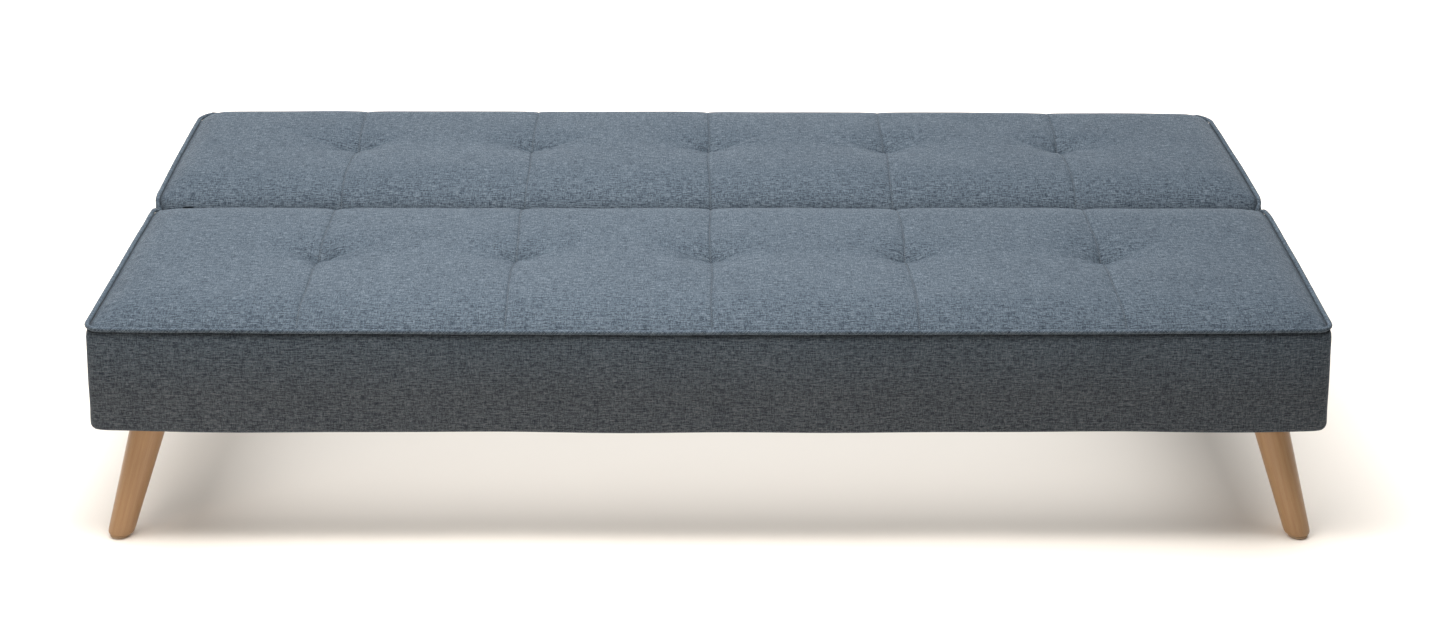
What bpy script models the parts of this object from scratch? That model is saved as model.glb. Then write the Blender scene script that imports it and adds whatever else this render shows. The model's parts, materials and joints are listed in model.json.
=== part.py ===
"""Futon sofa bed, drawn with its back laid flat.

A sprung seat slab stands on a steel underframe and four splayed wooden legs. A second slab, the back,
turns up on two ratchet hinges at the joint between the slabs. Metres, +Z up. The origin is on the
floor, in the middle of the bed; the seat's front edge faces -Y.
"""

import math

import bmesh
import bpy
from mathutils import Matrix

GAP = 0.0003  # between pieces that touch

# Fabric slabs
HALF_WIDTH = 0.893  # to the side panels
FRONT_Y = -0.4825
REAR_Y = 0.4825
SLAB_BOTTOM = 0.1808
SEAM_Z = 0.340  # height of the piped seam
TOP_Z = 0.360  # top of the padding
FABRIC = 0.002
FRONT_CORNER = 0.012  # corner radii seen from above
REAR_CORNER = 0.040
JOINT_CORNER = 0.004
CROWN = (0.060, TOP_Z - SEAM_Z)  # run and drop of the padding at a piped edge
WATERFALL = (0.110, 0.050)  # run and drop of the padding at the joint
REAR_ROLL = (0.055, 0.045)
PIPING_RADIUS = 0.0035
PIPING_FOOT_Z = SLAB_BOTTOM + 0.006
PIPING_JOINT_BEND = 0.028  # where the piping turns down at the joint
PIPING_REAR_BEND = 0.018
DUST_CLOTH = 0.0012
UNDERSIDE_CORNER = 0.012

# Joint between the slabs
JOINT_Y = 0.030
JOINT_GAP = 0.010
AXIS_Y = JOINT_Y
AXIS_Z = 0.318

# Timber frames
RAIL_BOTTOM = 0.183
RAIL_TOP = 0.273
RAIL = 0.022
MIDDLE_RAIL = 0.018
MIDDLE_RAIL_TOP = 0.253
MIDDLE_RAIL_X = 0.300
FRAME_INSET = 0.0165  # from the fabric to the frame
SEAT_FRAME_X = HALF_WIDTH - 0.017
HINGE_STEP = 0.0035  # the back's frame is this much narrower on each side
SPRING_SPACE_TOP = 0.2772

# Sprung seat and webbed back
SPRING_WIRE = 0.0016
SPRING_PITCH = 0.240
SPRING_WAVES = 6
SPRING_HALF_WIDTH = 0.025
TIE_WIRE = 0.0012
WEB_HALF_WIDTH = 0.030
WEB_THICKNESS = 0.0018

# Underframe
BEAM_X = 0.775
BEAM_WIDTH = 0.030
BEAM_HEIGHT = 0.025
BEAM_WALL = 0.002
BEAM_TOP = 0.1803
BEAM_ENDS = (-0.424, 0.395)
CROSSBAR_Y = (-0.360, 0.355)
LEG_PLATE = 0.004
LEG_PLATE_OUTER_X = 0.872
LEG_PLATE_HALF_DEPTH = 0.034

# Legs
LEG_TOP_X = 0.830
LEG_FOOT_X = 0.881
LEG_SPLAY_Y = 0.043
FRONT_LEG_TOP_Y = -0.435
REAR_LEG_TOP_Y = 0.355
LEG_TOP_RADIUS = 0.0275
LEG_FOOT_RADIUS = 0.0195
LEG_TOP_Z = BEAM_TOP - LEG_PLATE - GAP
GLIDE_HEIGHT = 0.004
GLIDE_RADIUS = 0.015
GLIDE_PIN = (0.003, 0.012)

# Fasteners
BOLT_RADIUS = 0.004
BOLT_HOLE = 0.0043
BOLT_TOP = 0.225
BOLT_HEAD = (0.007, 0.004)
FRONT_BOLT = (0.800, -0.452)
REAR_BOLT = (BEAM_X, -0.001)
HANGER_BOLT_LENGTH = 0.040

# Ratchet hinges
PLATE = 0.003
SEAT_PLATE_X = SEAT_FRAME_X - RAIL - GAP - PLATE / 2
BACK_PLATE_X = SEAT_PLATE_X - HINGE_STEP
EAR_RADIUS = 0.0105
RATCHET_RADIUS = 0.022
NOTCH_RADIUS = 0.0178
PIVOT_RADIUS = 0.004
PAWL_PIN_RADIUS = 0.003
RUNNING_CLEARANCE = 0.0001
PAWL_Y = -0.036  # pawl pin, from the hinge axis
PAWL_Z = -0.033
PAWL_HUB = 0.0055
SCREW_HOLE = 0.0028
PIN_HEAD = 0.0025  # thickness of the pins' heads
NOTCH_ANGLES = (-138, -178)  # where the pawl drops in at the half-raised and the raised position
NOTCH_HALF_ANGLE = 9
POCKET_X = (0.8365, 0.8580)  # slot in the padding for the hinge
POCKET_Z = (0.270, 0.332)
POCKET_REACH = 0.085


# ---------------------------------------------------------------- scene and materials


def clear_scene():
    for obj in list(bpy.data.objects):
        bpy.data.objects.remove(obj, do_unlink=True)


def new_collection(name):
    collection = bpy.data.collections.new(name)
    bpy.context.scene.collection.children.link(collection)
    return collection


def new_material(name, colour, roughness, metallic=0.0):
    material = bpy.data.materials.new(name)
    material.use_nodes = True
    shader = material.node_tree.nodes["Principled BSDF"]
    shader.inputs["Base Color"].default_value = (*colour, 1)
    shader.inputs["Roughness"].default_value = roughness
    shader.inputs["Metallic"].default_value = metallic
    return material


# ---------------------------------------------------------------- modelling helpers


def new_object(name, data, material, location=(0, 0, 0), rotation=(0, 0, 0)):
    obj = bpy.data.objects.new(name, data)
    PARTS.objects.link(obj)
    obj.location = location
    obj.rotation_euler = rotation
    if material:
        data.materials.append(material)
    return obj


def box(name, low, high, material=None):
    """A block between two opposite corners."""
    size = [b - a for a, b in zip(low, high)]
    centre = [(a + b) / 2 for a, b in zip(low, high)]
    mesh = bpy.data.meshes.new(name)
    bm = bmesh.new()
    bmesh.ops.create_cube(bm, size=1, matrix=Matrix.LocRotScale(None, None, size))
    bm.to_mesh(mesh)
    bm.free()
    return new_object(name, mesh, material, centre)


def cylinder(name, radius, depth, location, segments=16):
    """A closed upright cylinder, used as a cutter."""
    mesh = bpy.data.meshes.new(name)
    bm = bmesh.new()
    bmesh.ops.create_cone(
        bm, cap_ends=True, segments=segments, radius1=radius, radius2=radius, depth=depth
    )
    bm.to_mesh(mesh)
    bm.free()
    return new_object(name, mesh, None, location)


def turned(name, profile, material, steps=16, location=(0, 0, 0), rotation=(0, 0, 0)):
    """A turned piece. The profile's (radius, height) points run from the top down to the bottom."""
    mesh = bpy.data.meshes.new(name)
    points = [(radius, 0, height) for radius, height in profile]
    mesh.from_pydata(points, [(i, i + 1) for i in range(len(points) - 1)], [])
    obj = new_object(name, mesh, material, location, rotation)
    screw = obj.modifiers.new("Screw", "SCREW")
    screw.steps = steps
    screw.render_steps = steps
    screw.use_merge_vertices = True
    screw.merge_threshold = 0.00001
    return obj


def outline_solid(name, loops, thickness, material, location=(0, 0, 0), rotation=(0, 0, 0)):
    """A flat piece: the first loop is its outline and the others are its holes."""
    curve = bpy.data.curves.new(name, "CURVE")
    curve.dimensions = "2D"
    curve.fill_mode = "BOTH"
    curve.extrude = thickness / 2
    for loop in loops:
        spline = curve.splines.new("POLY")
        spline.points.add(len(loop) - 1)
        for point, (u, v) in zip(spline.points, loop):
            point.co = (u, v, 0, 1)
        spline.use_cyclic_u = True
    return new_object(name, curve, material, location, rotation)


def tube(name, points, radius, material, resolution=2):
    """A round wire or cord through the points, with closed ends."""
    curve = bpy.data.curves.new(name, "CURVE")
    curve.dimensions = "3D"
    curve.bevel_depth = radius
    curve.bevel_resolution = resolution
    curve.use_fill_caps = True
    spline = curve.splines.new("POLY")
    spline.points.add(len(points) - 1)
    for point, co in zip(spline.points, points):
        point.co = (*co, 1)
    return new_object(name, curve, material)


def as_mesh(obj):
    """The same object with its curve and modifiers turned into one welded mesh."""
    graph = bpy.context.evaluated_depsgraph_get()
    mesh = bpy.data.meshes.new_from_object(obj.evaluated_get(graph))
    bm = bmesh.new()
    bm.from_mesh(mesh)
    bmesh.ops.remove_doubles(bm, verts=bm.verts, dist=0.000002)
    bm.to_mesh(mesh)
    bm.free()
    name, location, rotation = obj.name, obj.location.copy(), obj.rotation_euler.copy()
    bpy.data.objects.remove(obj, do_unlink=True)
    return new_object(name, mesh, None, location, rotation)


def combine(obj, tools, operation):
    """Cuts, joins or intersects the object with each tool, and puts the tools away as cutters."""
    for tool in tools:
        modifier = obj.modifiers.new(tool.name, "BOOLEAN")
        modifier.operation = operation
        modifier.solver = "EXACT"
        modifier.object = tool
        tool.hide_render = True
        tool.display_type = "WIRE"
        PARTS.objects.unlink(tool)
        CUTTERS.objects.link(tool)
    return obj


def on_axis(obj, empty):
    """Hangs the object on a joint's empty without moving it."""
    obj.parent = empty
    obj.matrix_parent_inverse = Matrix.Translation(empty.location).inverted()
    return obj


def joint_empty(name, location):
    empty = bpy.data.objects.new(name, None)
    PARTS.objects.link(empty)
    empty.location = location
    return empty


def smooth(obj):
    obj.data.shade_smooth()
    obj.data.set_sharp_from_angle(angle=math.radians(35))
    return obj


# ---------------------------------------------------------------- outlines


FACING_X = (math.pi / 2, 0, math.pi / 2)  # the outline's axes become +Y and +Z
FACING_Y = (math.pi / 2, 0, 0)  # the outline's axes become +X and +Z


def rectangle(low, high):
    return [(low[0], low[1]), (high[0], low[1]), (high[0], high[1]), (low[0], high[1])]


def arc(radius, start, end, steps, centre=(0, 0), radius_v=None):
    """Points along a circle, or an ellipse when a second radius is given. Angles in degrees."""
    radius_v = radius if radius_v is None else radius_v
    angles = [math.radians(start + (end - start) * i / steps) for i in range(steps + 1)]
    return [(centre[0] + radius * math.cos(a), centre[1] + radius_v * math.sin(a)) for a in angles]


def circle(radius, centre=(0, 0), segments=16):
    return arc(radius, 0, 360 - 360 / segments, segments - 1, centre)


def bent_path(corners, radii, steps=4):
    """A path through the corners, each of them rounded to its radius."""
    path = [corners[0]]
    for before, corner, after, radius in zip(corners, corners[1:], corners[2:], radii):
        back = unit(before, corner)
        ahead = unit(after, corner)
        start = [c + radius * b for c, b in zip(corner, back)]
        centre = [s + radius * a for s, a in zip(start, ahead)]
        for i in range(steps + 1):
            turn = math.pi / 2 * i / steps
            path.append(
                tuple(
                    m - radius * math.cos(turn) * a - radius * math.sin(turn) * b
                    for m, a, b in zip(centre, ahead, back)
                )
            )
    path.append(corners[-1])
    return path


def unit(there, here):
    length = math.dist(there, here)
    return [(t - h) / length for t, h in zip(there, here)]


# ---------------------------------------------------------------- padded slabs


def side_profile(front, rear, front_edge, rear_edge, inset, bottom):
    """A slab seen from its end: each edge is an ellipse of the given run and drop."""
    front += inset
    rear -= inset
    top = TOP_Z - inset
    front_run, front_drop = [size - inset for size in front_edge]
    rear_run, rear_drop = [size - inset for size in rear_edge]
    front_roll = arc(
        front_run, 180, 90, 6, (front + front_run, top - front_drop), front_drop
    )
    rear_roll = arc(rear_run, 90, 0, 6, (rear - rear_run, top - rear_drop), rear_drop)
    return [(front, bottom), *front_roll, *rear_roll, (rear, bottom)]


def plan_outline(front, rear, front_corner, rear_corner, inset):
    """A slab seen from above, with its four corners rounded."""
    outline = []
    x = HALF_WIDTH - inset
    for side, y, inward, radius, start in (
        (1, front + inset, 1, front_corner, -90),
        (1, rear - inset, -1, rear_corner, 0),
        (-1, rear - inset, -1, rear_corner, 90),
        (-1, front + inset, 1, front_corner, 180),
    ):
        radius = max(radius - inset, 0.001)
        centre = (side * (x - radius), y + inward * radius)
        outline += arc(radius, start, start + 90, 4, centre)
    return outline


def slab_solid(name, slab, inset, bottom):
    """The padded shape of a slab, the given distance inside its outer surface."""
    front, rear, front_edge, rear_edge, front_corner, rear_corner = slab
    height = TOP_Z + 0.1
    end_view = side_profile(front, rear, front_edge, rear_edge, inset, bottom)
    x = HALF_WIDTH - inset
    run, drop = [size - inset for size in CROWN]
    level = TOP_Z - inset - drop
    front_view = [(-x, bottom - 0.01), (x, bottom - 0.01)]
    front_view += arc(run, 0, 90, 5, (x - run, level), drop)
    front_view += arc(run, 90, 180, 5, (-x + run, level), drop)
    plan = plan_outline(front, rear, front_corner, rear_corner, inset)
    solid = as_mesh(outline_solid(name, [end_view], 2.2 * HALF_WIDTH, None, rotation=FACING_X))
    across = outline_solid(name + "_across", [front_view], 1.4, None, rotation=FACING_Y)
    above = outline_solid(name + "_above", [plan], 2 * height, None)
    return as_mesh(combine(solid, [as_mesh(across), as_mesh(above)], "INTERSECT"))


SEAT_REAR_Y = JOINT_Y - JOINT_GAP / 2
BACK_FRONT_Y = JOINT_Y + JOINT_GAP / 2
SEAT_SLAB = (FRONT_Y, SEAT_REAR_Y, CROWN, WATERFALL, FRONT_CORNER, JOINT_CORNER)
BACK_SLAB = (BACK_FRONT_Y, REAR_Y, WATERFALL, REAR_ROLL, JOINT_CORNER, REAR_CORNER)


def hinge_pockets(name, reach):
    """The two slots that the padding leaves for the hinges, reaching from the joint into the slab."""
    low, high = sorted((JOINT_Y, JOINT_Y + reach))
    pockets = []
    for side in (-1, 1):
        x0, x1 = sorted((side * POCKET_X[0], side * POCKET_X[1]))
        pockets.append(
            box(f"{name}_pocket_{SIDE[side]}", (x0, low, POCKET_Z[0]), (x1, high, POCKET_Z[1]))
        )
    return pockets


def cover(name, slab, reach, material):
    """A fabric case, open beneath."""
    shell = slab_solid(name, slab, 0, SLAB_BOTTOM)
    hollow = slab_solid(name + "_hollow", slab, FABRIC, SLAB_BOTTOM - 0.01)
    shell = combine(shell, [hollow] + hinge_pockets(name, reach), "DIFFERENCE")
    shell.data.materials.append(material)
    return shell


def foam(name, slab, frame, reach, material):
    """The padding: a thick top over the frame, with a skirt around it."""
    (x, front, rear) = frame
    block = slab_solid(name, slab, FABRIC + GAP, RAIL_BOTTOM)
    space = box(
        name + "_frame_space",
        (-x - GAP, front - GAP, RAIL_BOTTOM - 0.01),
        (x + GAP, rear + GAP, SPRING_SPACE_TOP),
    )
    block = combine(block, [space] + hinge_pockets(name, reach), "DIFFERENCE")
    block.data.materials.append(material)
    return block


def dust_cover(name, slab, holes, material):
    """The thin cloth that closes a slab beneath."""
    front, rear = slab[0], slab[1]
    edge = FABRIC + GAP
    corner = max(slab[5], UNDERSIDE_CORNER)
    outline = plan_outline(front, rear, UNDERSIDE_CORNER, corner, edge)
    middle = (SLAB_BOTTOM + RAIL_BOTTOM) / 2
    loops = [outline] + [circle(BOLT_HOLE, at, 12) for at in holes]
    return outline_solid(name, loops, DUST_CLOTH, material, (0, 0, middle))


def seat_piping(material):
    x = HALF_WIDTH + PIPING_RADIUS + GAP
    front = FRONT_Y - PIPING_RADIUS - GAP
    end = SEAT_REAR_Y - PIPING_RADIUS
    corners = [
        (-x, end, PIPING_FOOT_Z),
        (-x, end, SEAM_Z),
        (-x, front, SEAM_Z),
        (x, front, SEAM_Z),
        (x, end, SEAM_Z),
        (x, end, PIPING_FOOT_Z),
    ]
    front_bend = FRONT_CORNER + PIPING_RADIUS + GAP
    path = bent_path(corners, (PIPING_JOINT_BEND, front_bend, front_bend, PIPING_JOINT_BEND))
    return tube("seat_piping", path, PIPING_RADIUS, material)


def back_piping(side, material):
    x = side * (HALF_WIDTH + PIPING_RADIUS + GAP)
    rear = REAR_Y + PIPING_RADIUS + GAP
    start = BACK_FRONT_Y + PIPING_RADIUS
    inner_x = side * (HALF_WIDTH - REAR_CORNER - 0.020)
    corners = [
        (x, start, PIPING_FOOT_Z),
        (x, start, SEAM_Z),
        (x, rear, SEAM_Z),
        (inner_x, rear, SEAM_Z),
        (inner_x, rear, PIPING_FOOT_Z),
    ]
    rear_bend = REAR_CORNER + PIPING_RADIUS + GAP
    path = bent_path(corners, (PIPING_JOINT_BEND, rear_bend, PIPING_REAR_BEND))
    return tube(f"back_piping_{SIDE[side]}", path, PIPING_RADIUS, material)


# ---------------------------------------------------------------- timber frames


def cross_rail(name, x, y_low, y_high, holes, material):
    """A rail along the bed, with upright bolt holes."""
    loops = [rectangle((-x, y_low), (x, y_high))] + [circle(BOLT_HOLE, at, 12) for at in holes]
    height = RAIL_TOP - RAIL_BOTTOM
    return outline_solid(name, loops, height, material, (0, 0, RAIL_BOTTOM + height / 2))


def timber_frame(name, frame, bolts, material):
    """Two long rails, two end rails between them and the side panels, and two lower middle rails."""
    (x, front, rear) = frame
    inner = x - RAIL
    rails = [
        cross_rail(f"{name}_front_rail", inner - GAP, front, front + RAIL, bolts[0], material),
        cross_rail(f"{name}_rear_rail", inner - GAP, rear - RAIL, rear, bolts[1], material),
    ]
    for side in (-1, 1):
        x0, x1 = sorted((side * inner, side * x))
        low, high = (x0, front, RAIL_BOTTOM), (x1, rear, RAIL_TOP)
        rails.append(box(f"{name}_side_rail_{SIDE[side]}", low, high, material))
        x0 = side * MIDDLE_RAIL_X - MIDDLE_RAIL / 2
        low = (x0, front + RAIL + GAP, RAIL_BOTTOM)
        high = (x0 + MIDDLE_RAIL, rear - RAIL - GAP, MIDDLE_RAIL_TOP)
        rails.append(box(f"{name}_middle_rail_{SIDE[side]}", low, high, material))
    return rails


def zigzag(x, front, rear):
    """The path of one sinuous spring: a flattened sine wave with straight ends."""
    start, end = front + 0.022, rear - 0.022
    z = RAIL_TOP + GAP + SPRING_WIRE
    points = [(x, front + 0.006, z)]
    count = 6 * SPRING_WAVES
    for i in range(count):
        phase = 2 * math.pi * SPRING_WAVES * (i + 0.5) / count
        swing = max(-1, min(1, 1.25 * math.sin(phase)))
        y = start + (end - start) * (i + 0.5) / count
        points.append((x + SPRING_HALF_WIDTH * swing, y, z))
    points.append((x, rear - 0.006, z))
    return points


def seat_springs(frame, material):
    """Sinuous springs from the front rail to the rear rail, linked by two tie wires."""
    (_, front, rear) = frame
    springs = []
    for i in range(-3, 4):
        path = zigzag(i * SPRING_PITCH, front, rear)
        springs.append(as_mesh(tube(f"spring_{i + 3}", path, SPRING_WIRE, None, 0)))
    reach = 3 * SPRING_PITCH + SPRING_HALF_WIDTH + 0.004
    ties = []
    for i, share in enumerate((0.36, 0.64)):
        y = front + (rear - front) * share
        z = RAIL_TOP + GAP + SPRING_WIRE
        path = [(-reach, y, z), (reach, y, z)]
        ties.append(as_mesh(tube(f"tie_{i}", path, TIE_WIRE, None, 0)))
    panel = springs.pop(0)
    panel.name = "seat_springs"
    panel = combine(panel, ties + springs, "UNION")
    panel.data.materials.append(material)
    return panel


def back_webbing(frame, material):
    """Flat elastic straps over the back's frame, crossed and stapled together."""
    (x, front, rear) = frame
    base = RAIL_TOP + GAP
    straps = []
    for i in range(6):
        centre = (i - 2.5) * 0.280
        low = (centre - WEB_HALF_WIDTH, front + 0.003, base)
        high = (centre + WEB_HALF_WIDTH, rear - 0.003, base + WEB_THICKNESS)
        straps.append(box(f"strap_{i}", low, high))
    for i, share in enumerate((0.35, 0.65)):
        y = front + (rear - front) * share
        low = (-x + 0.003, y - WEB_HALF_WIDTH, base + WEB_THICKNESS / 2)
        high = (x - 0.003, y + WEB_HALF_WIDTH, base + 1.5 * WEB_THICKNESS)
        straps.append(box(f"long_strap_{i}", low, high))
    web = straps.pop()
    web.name = "back_webbing"
    web = combine(web, straps, "UNION")
    web.data.materials.append(material)
    return web


# ---------------------------------------------------------------- underframe and legs


def tube_section(width, height, centre):
    """The loops of a square tube's section."""
    low = (centre[0] - width / 2, centre[1] - height / 2)
    high = (centre[0] + width / 2, centre[1] + height / 2)
    inner_low = (low[0] + BEAM_WALL, low[1] + BEAM_WALL)
    inner_high = (high[0] - BEAM_WALL, high[1] - BEAM_WALL)
    return [rectangle(low, high), rectangle(inner_low, inner_high)]


def beam(side, material):
    """A tube running from front to rear under both slabs, bored for the bolt into the seat's frame."""
    z = BEAM_TOP - BEAM_HEIGHT / 2
    length = BEAM_ENDS[1] - BEAM_ENDS[0]
    middle = sum(BEAM_ENDS) / 2
    name = f"base_beam_{SIDE[side]}"
    loops = tube_section(BEAM_WIDTH, BEAM_HEIGHT, (0, 0))
    at = (side * BEAM_X, middle, z)
    body = as_mesh(outline_solid(name, loops, length, None, at, FACING_Y))
    bolt_at = (side * REAR_BOLT[0], REAR_BOLT[1], z)
    hole = cylinder(name + "_hole", BOLT_HOLE, BEAM_HEIGHT + 0.01, bolt_at, 12)
    body = combine(body, [hole], "DIFFERENCE")
    body.data.materials.append(material)
    return body


def crossbar(name, y, material):
    z = BEAM_TOP - BEAM_HEIGHT / 2
    length = 2 * (BEAM_X - BEAM_WIDTH / 2 - GAP)
    loops = tube_section(BEAM_WIDTH, BEAM_HEIGHT, (y, z))
    return outline_solid(name, loops, length, material, rotation=FACING_X)


def leg_plate(name, side, top_y, holes, material):
    """The plate beside a beam that a leg screws up to."""
    inner = BEAM_X + BEAM_WIDTH / 2 + GAP
    x0, x1 = sorted((side * inner, side * LEG_PLATE_OUTER_X))
    low = (x0, top_y - LEG_PLATE_HALF_DEPTH)
    high = (x1, top_y + LEG_PLATE_HALF_DEPTH)
    loops = [rectangle(low, high)] + [circle(BOLT_HOLE, (side * x, y), 12) for x, y in holes]
    return outline_solid(name, loops, LEG_PLATE, material, (0, 0, BEAM_TOP - LEG_PLATE / 2))


def leg(name, side, top_y, splay, material):
    """A tapered round leg, splayed outwards, with level ends and a rounded foot."""
    bottom = GLIDE_HEIGHT + GAP
    height = LEG_TOP_Z - bottom
    edge = 0.003
    foot_edge = arc(edge, 0, -90, 3, (LEG_FOOT_RADIUS - edge, bottom + edge))
    profile = [(0, LEG_TOP_Z), (LEG_TOP_RADIUS, LEG_TOP_Z), *foot_edge, (0, bottom)]
    body = as_mesh(turned(name, profile, None, 24))
    lean = Matrix.Identity(4)
    lean[0][2] = -side * (LEG_FOOT_X - LEG_TOP_X) / height
    lean[1][2] = -splay / height
    foot = (side * LEG_FOOT_X, top_y + splay)
    body.data.transform(lean @ Matrix.Translation((0, 0, -bottom)))
    body.location = (*foot, bottom)
    bolt_depth = HANGER_BOLT_LENGTH - LEG_PLATE
    bolt_at = (side * LEG_TOP_X, top_y, LEG_TOP_Z)
    holes = [
        cylinder(name + "_bolt_hole", BOLT_HOLE, 2 * bolt_depth, bolt_at, 12),
        cylinder(name + "_pin_hole", GLIDE_PIN[0] + GAP, 2 * GLIDE_PIN[1] + 0.001, (*foot, bottom), 12),
    ]
    body = combine(body, holes, "DIFFERENCE")
    body.data.materials.append(material)
    return body


def glide(name, foot, material):
    """A plastic glide with a pin up into the foot."""
    edge = 0.001
    pin_radius, pin_height = GLIDE_PIN
    profile = [
        (0, GLIDE_HEIGHT + pin_height),
        (pin_radius, GLIDE_HEIGHT + pin_height),
        (pin_radius, GLIDE_HEIGHT),
        (GLIDE_RADIUS, GLIDE_HEIGHT),
        (GLIDE_RADIUS, edge),
        (GLIDE_RADIUS - edge, 0),
        (0, 0),
    ]
    return smooth(turned(name, profile, material, 16, (*foot, 0)))


def hanger_bolt(name, x, y, material):
    top = BEAM_TOP - GAP
    bottom = top - HANGER_BOLT_LENGTH + GAP * 3
    profile = [(0, top), (BOLT_RADIUS, top), (BOLT_RADIUS, bottom), (0, bottom)]
    return turned(name, profile, material, 12, (x, y, 0))


def frame_bolt(name, x, y, seat_z, material):
    """A bolt up into the seat's frame, its head against the plate or beam at the given height."""
    radius, height = BOLT_HEAD
    seat_z -= GAP
    profile = [
        (0, BOLT_TOP),
        (BOLT_RADIUS, BOLT_TOP),
        (BOLT_RADIUS, seat_z),
        (radius, seat_z),
        (radius, seat_z - height),
        (0, seat_z - height),
    ]
    return turned(name, profile, material, 12, (x, y, 0))


def base_corner(corner, side, top_y, splay, holes, materials):
    """One leg with its plate, hanger bolt and glide."""
    name = f"{corner}_{SIDE[side]}"
    leg_plate(f"leg_plate_{name}", side, top_y, holes, materials["steel"])
    leg(f"leg_{name}", side, top_y, splay, materials["leg"])
    hanger_bolt(f"hanger_bolt_{name}", side * LEG_TOP_X, top_y, materials["zinc"])
    glide(f"glide_{name}", (side * LEG_FOOT_X, top_y + splay), materials["plastic"])


# ---------------------------------------------------------------- ratchet hinges


def seat_hinge_plate(side, material):
    """The fixed plate: screwed to the seat's side rail, it carries the pivot and the pawl."""
    ear = arc(EAR_RADIUS, -50, 105, 8)
    outline = [(-0.195, -0.118), (-0.0455, -0.118), (-0.0455, -0.0418), (-0.010, -0.0418)]
    outline += ear + [(-0.052, -0.008), (-0.078, -0.045), (-0.195, -0.056)]
    holes = [
        circle(PIVOT_RADIUS + RUNNING_CLEARANCE, segments=24),
        circle(PAWL_PIN_RADIUS + RUNNING_CLEARANCE, (PAWL_Y, PAWL_Z), 24),
        circle(SCREW_HOLE, (-0.080, -0.085), 10),
        circle(SCREW_HOLE, (-0.165, -0.085), 10),
    ]
    at = (side * SEAT_PLATE_X, AXIS_Y, AXIS_Z)
    name = f"seat_hinge_plate_{SIDE[side]}"
    return outline_solid(name, [outline] + holes, PLATE, material, at, FACING_X)


def ratchet_rim():
    """The toothed rim, from the end that faces the pawl when the back is flat, round to the other."""
    rim = []
    start = -116
    for notch in NOTCH_ANGLES:
        rim += arc(RATCHET_RADIUS, start, notch + NOTCH_HALF_ANGLE, 2)
        rim += arc(NOTCH_RADIUS, notch + NOTCH_HALF_ANGLE - 2, notch - NOTCH_HALF_ANGLE + 2, 2)
        start = notch - NOTCH_HALF_ANGLE
    return rim + arc(RATCHET_RADIUS, start, -194, 1)


def back_hinge_plate(side, material):
    """The turning plate: screwed to the back's side rail, with the ratchet around the pivot."""
    outline = [(0.195, -0.118), (0.0455, -0.118), (0.0455, -0.0418), (0.012, -0.0418)]
    outline += arc(EAR_RADIUS, -60, -116, 3) + ratchet_rim() + arc(EAR_RADIUS, -194, -285, 5)
    outline += [(0.052, -0.008), (0.078, -0.045), (0.195, -0.056)]
    holes = [
        circle(PIVOT_RADIUS + RUNNING_CLEARANCE, segments=24),
        circle(SCREW_HOLE, (0.080, -0.085), 10),
        circle(SCREW_HOLE, (0.165, -0.085), 10),
    ]
    at = (side * BACK_PLATE_X, AXIS_Y, AXIS_Z)
    name = f"back_hinge_plate_{SIDE[side]}"
    return outline_solid(name, [outline] + holes, PLATE, material, at, FACING_X)


def pawl(side, material):
    """The catch that drops into the ratchet's notches, drawn held clear of them."""
    hub = arc(PAWL_HUB, 80, 280, 7)
    nose = [(0.034, 0.0035), (0.0345, 0.0085), (0.032, 0.0102), (0.0285, 0.0062)]
    outline = hub + [(0.010, -0.0045), *nose, (0.012, 0.0050)]
    hole = circle(PAWL_PIN_RADIUS + RUNNING_CLEARANCE, segments=24)
    at = (side * BACK_PLATE_X, AXIS_Y + PAWL_Y, AXIS_Z + PAWL_Z)
    return outline_solid(f"pawl_{SIDE[side]}", [outline, hole], PLATE, material, at, FACING_X)


def hinge_pin(name, side, at, radius, head_radius, inner_x, material):
    """A headed pin across the hinge, riveted at its inner end."""
    outer = SEAT_PLATE_X + PLATE / 2 + GAP
    profile = [
        (0, outer + PIN_HEAD),
        (head_radius, outer + PIN_HEAD),
        (head_radius, outer),
        (radius, outer),
        (radius, inner_x),
        (head_radius * 0.9, inner_x),
        (head_radius * 0.9, inner_x - PIN_HEAD),
        (0, inner_x - PIN_HEAD),
    ]
    rotation = (0, side * math.pi / 2, 0)
    return turned(name, profile, material, 16, (0, *at), rotation)


def pawl_spring(side, material):
    """A torsion spring around the pawl's pin, with one arm along the pawl and one against the plate."""
    wire, coil, turns, steps = 0.0006, 0.0048, 3, 8
    start = BACK_PLATE_X - PLATE / 2 - GAP - wire
    points = [(start, 0.017, coil - 0.0024)]
    for i in range(turns * steps + 1):
        angle = math.pi / 2 + 2 * math.pi * i / steps
        x = start - 0.0016 * i / steps
        points.append((x, coil * math.cos(angle), coil * math.sin(angle)))
    points.append((points[-1][0], -0.016, coil))
    y, z = AXIS_Y + PAWL_Y, AXIS_Z + PAWL_Z
    path = [(side * x, y + dy, z + dz) for x, dy, dz in points]
    return tube(f"pawl_spring_{SIDE[side]}", path, wire, material, 0)


def hinge(side, back_axis, materials):
    """Everything of one hinge: the turning plate hangs on the back's axis, the pawl on its own."""
    steel, zinc = materials["steel"], materials["zinc"]
    axis = (AXIS_Y, AXIS_Z)
    pin = (AXIS_Y + PAWL_Y, AXIS_Z + PAWL_Z)
    inner = BACK_PLATE_X - PLATE / 2 - GAP
    seat_hinge_plate(side, steel)
    on_axis(back_hinge_plate(side, steel), back_axis)
    pawl(side, zinc)
    hinge_pin(f"pivot_pin_{SIDE[side]}", side, axis, PIVOT_RADIUS, 0.007, inner, zinc)
    hinge_pin(f"pawl_pin_{SIDE[side]}", side, pin, PAWL_PIN_RADIUS, 0.005, inner - 0.007, zinc)
    pawl_spring(side, materials["spring"])


# ---------------------------------------------------------------- assembly


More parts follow.
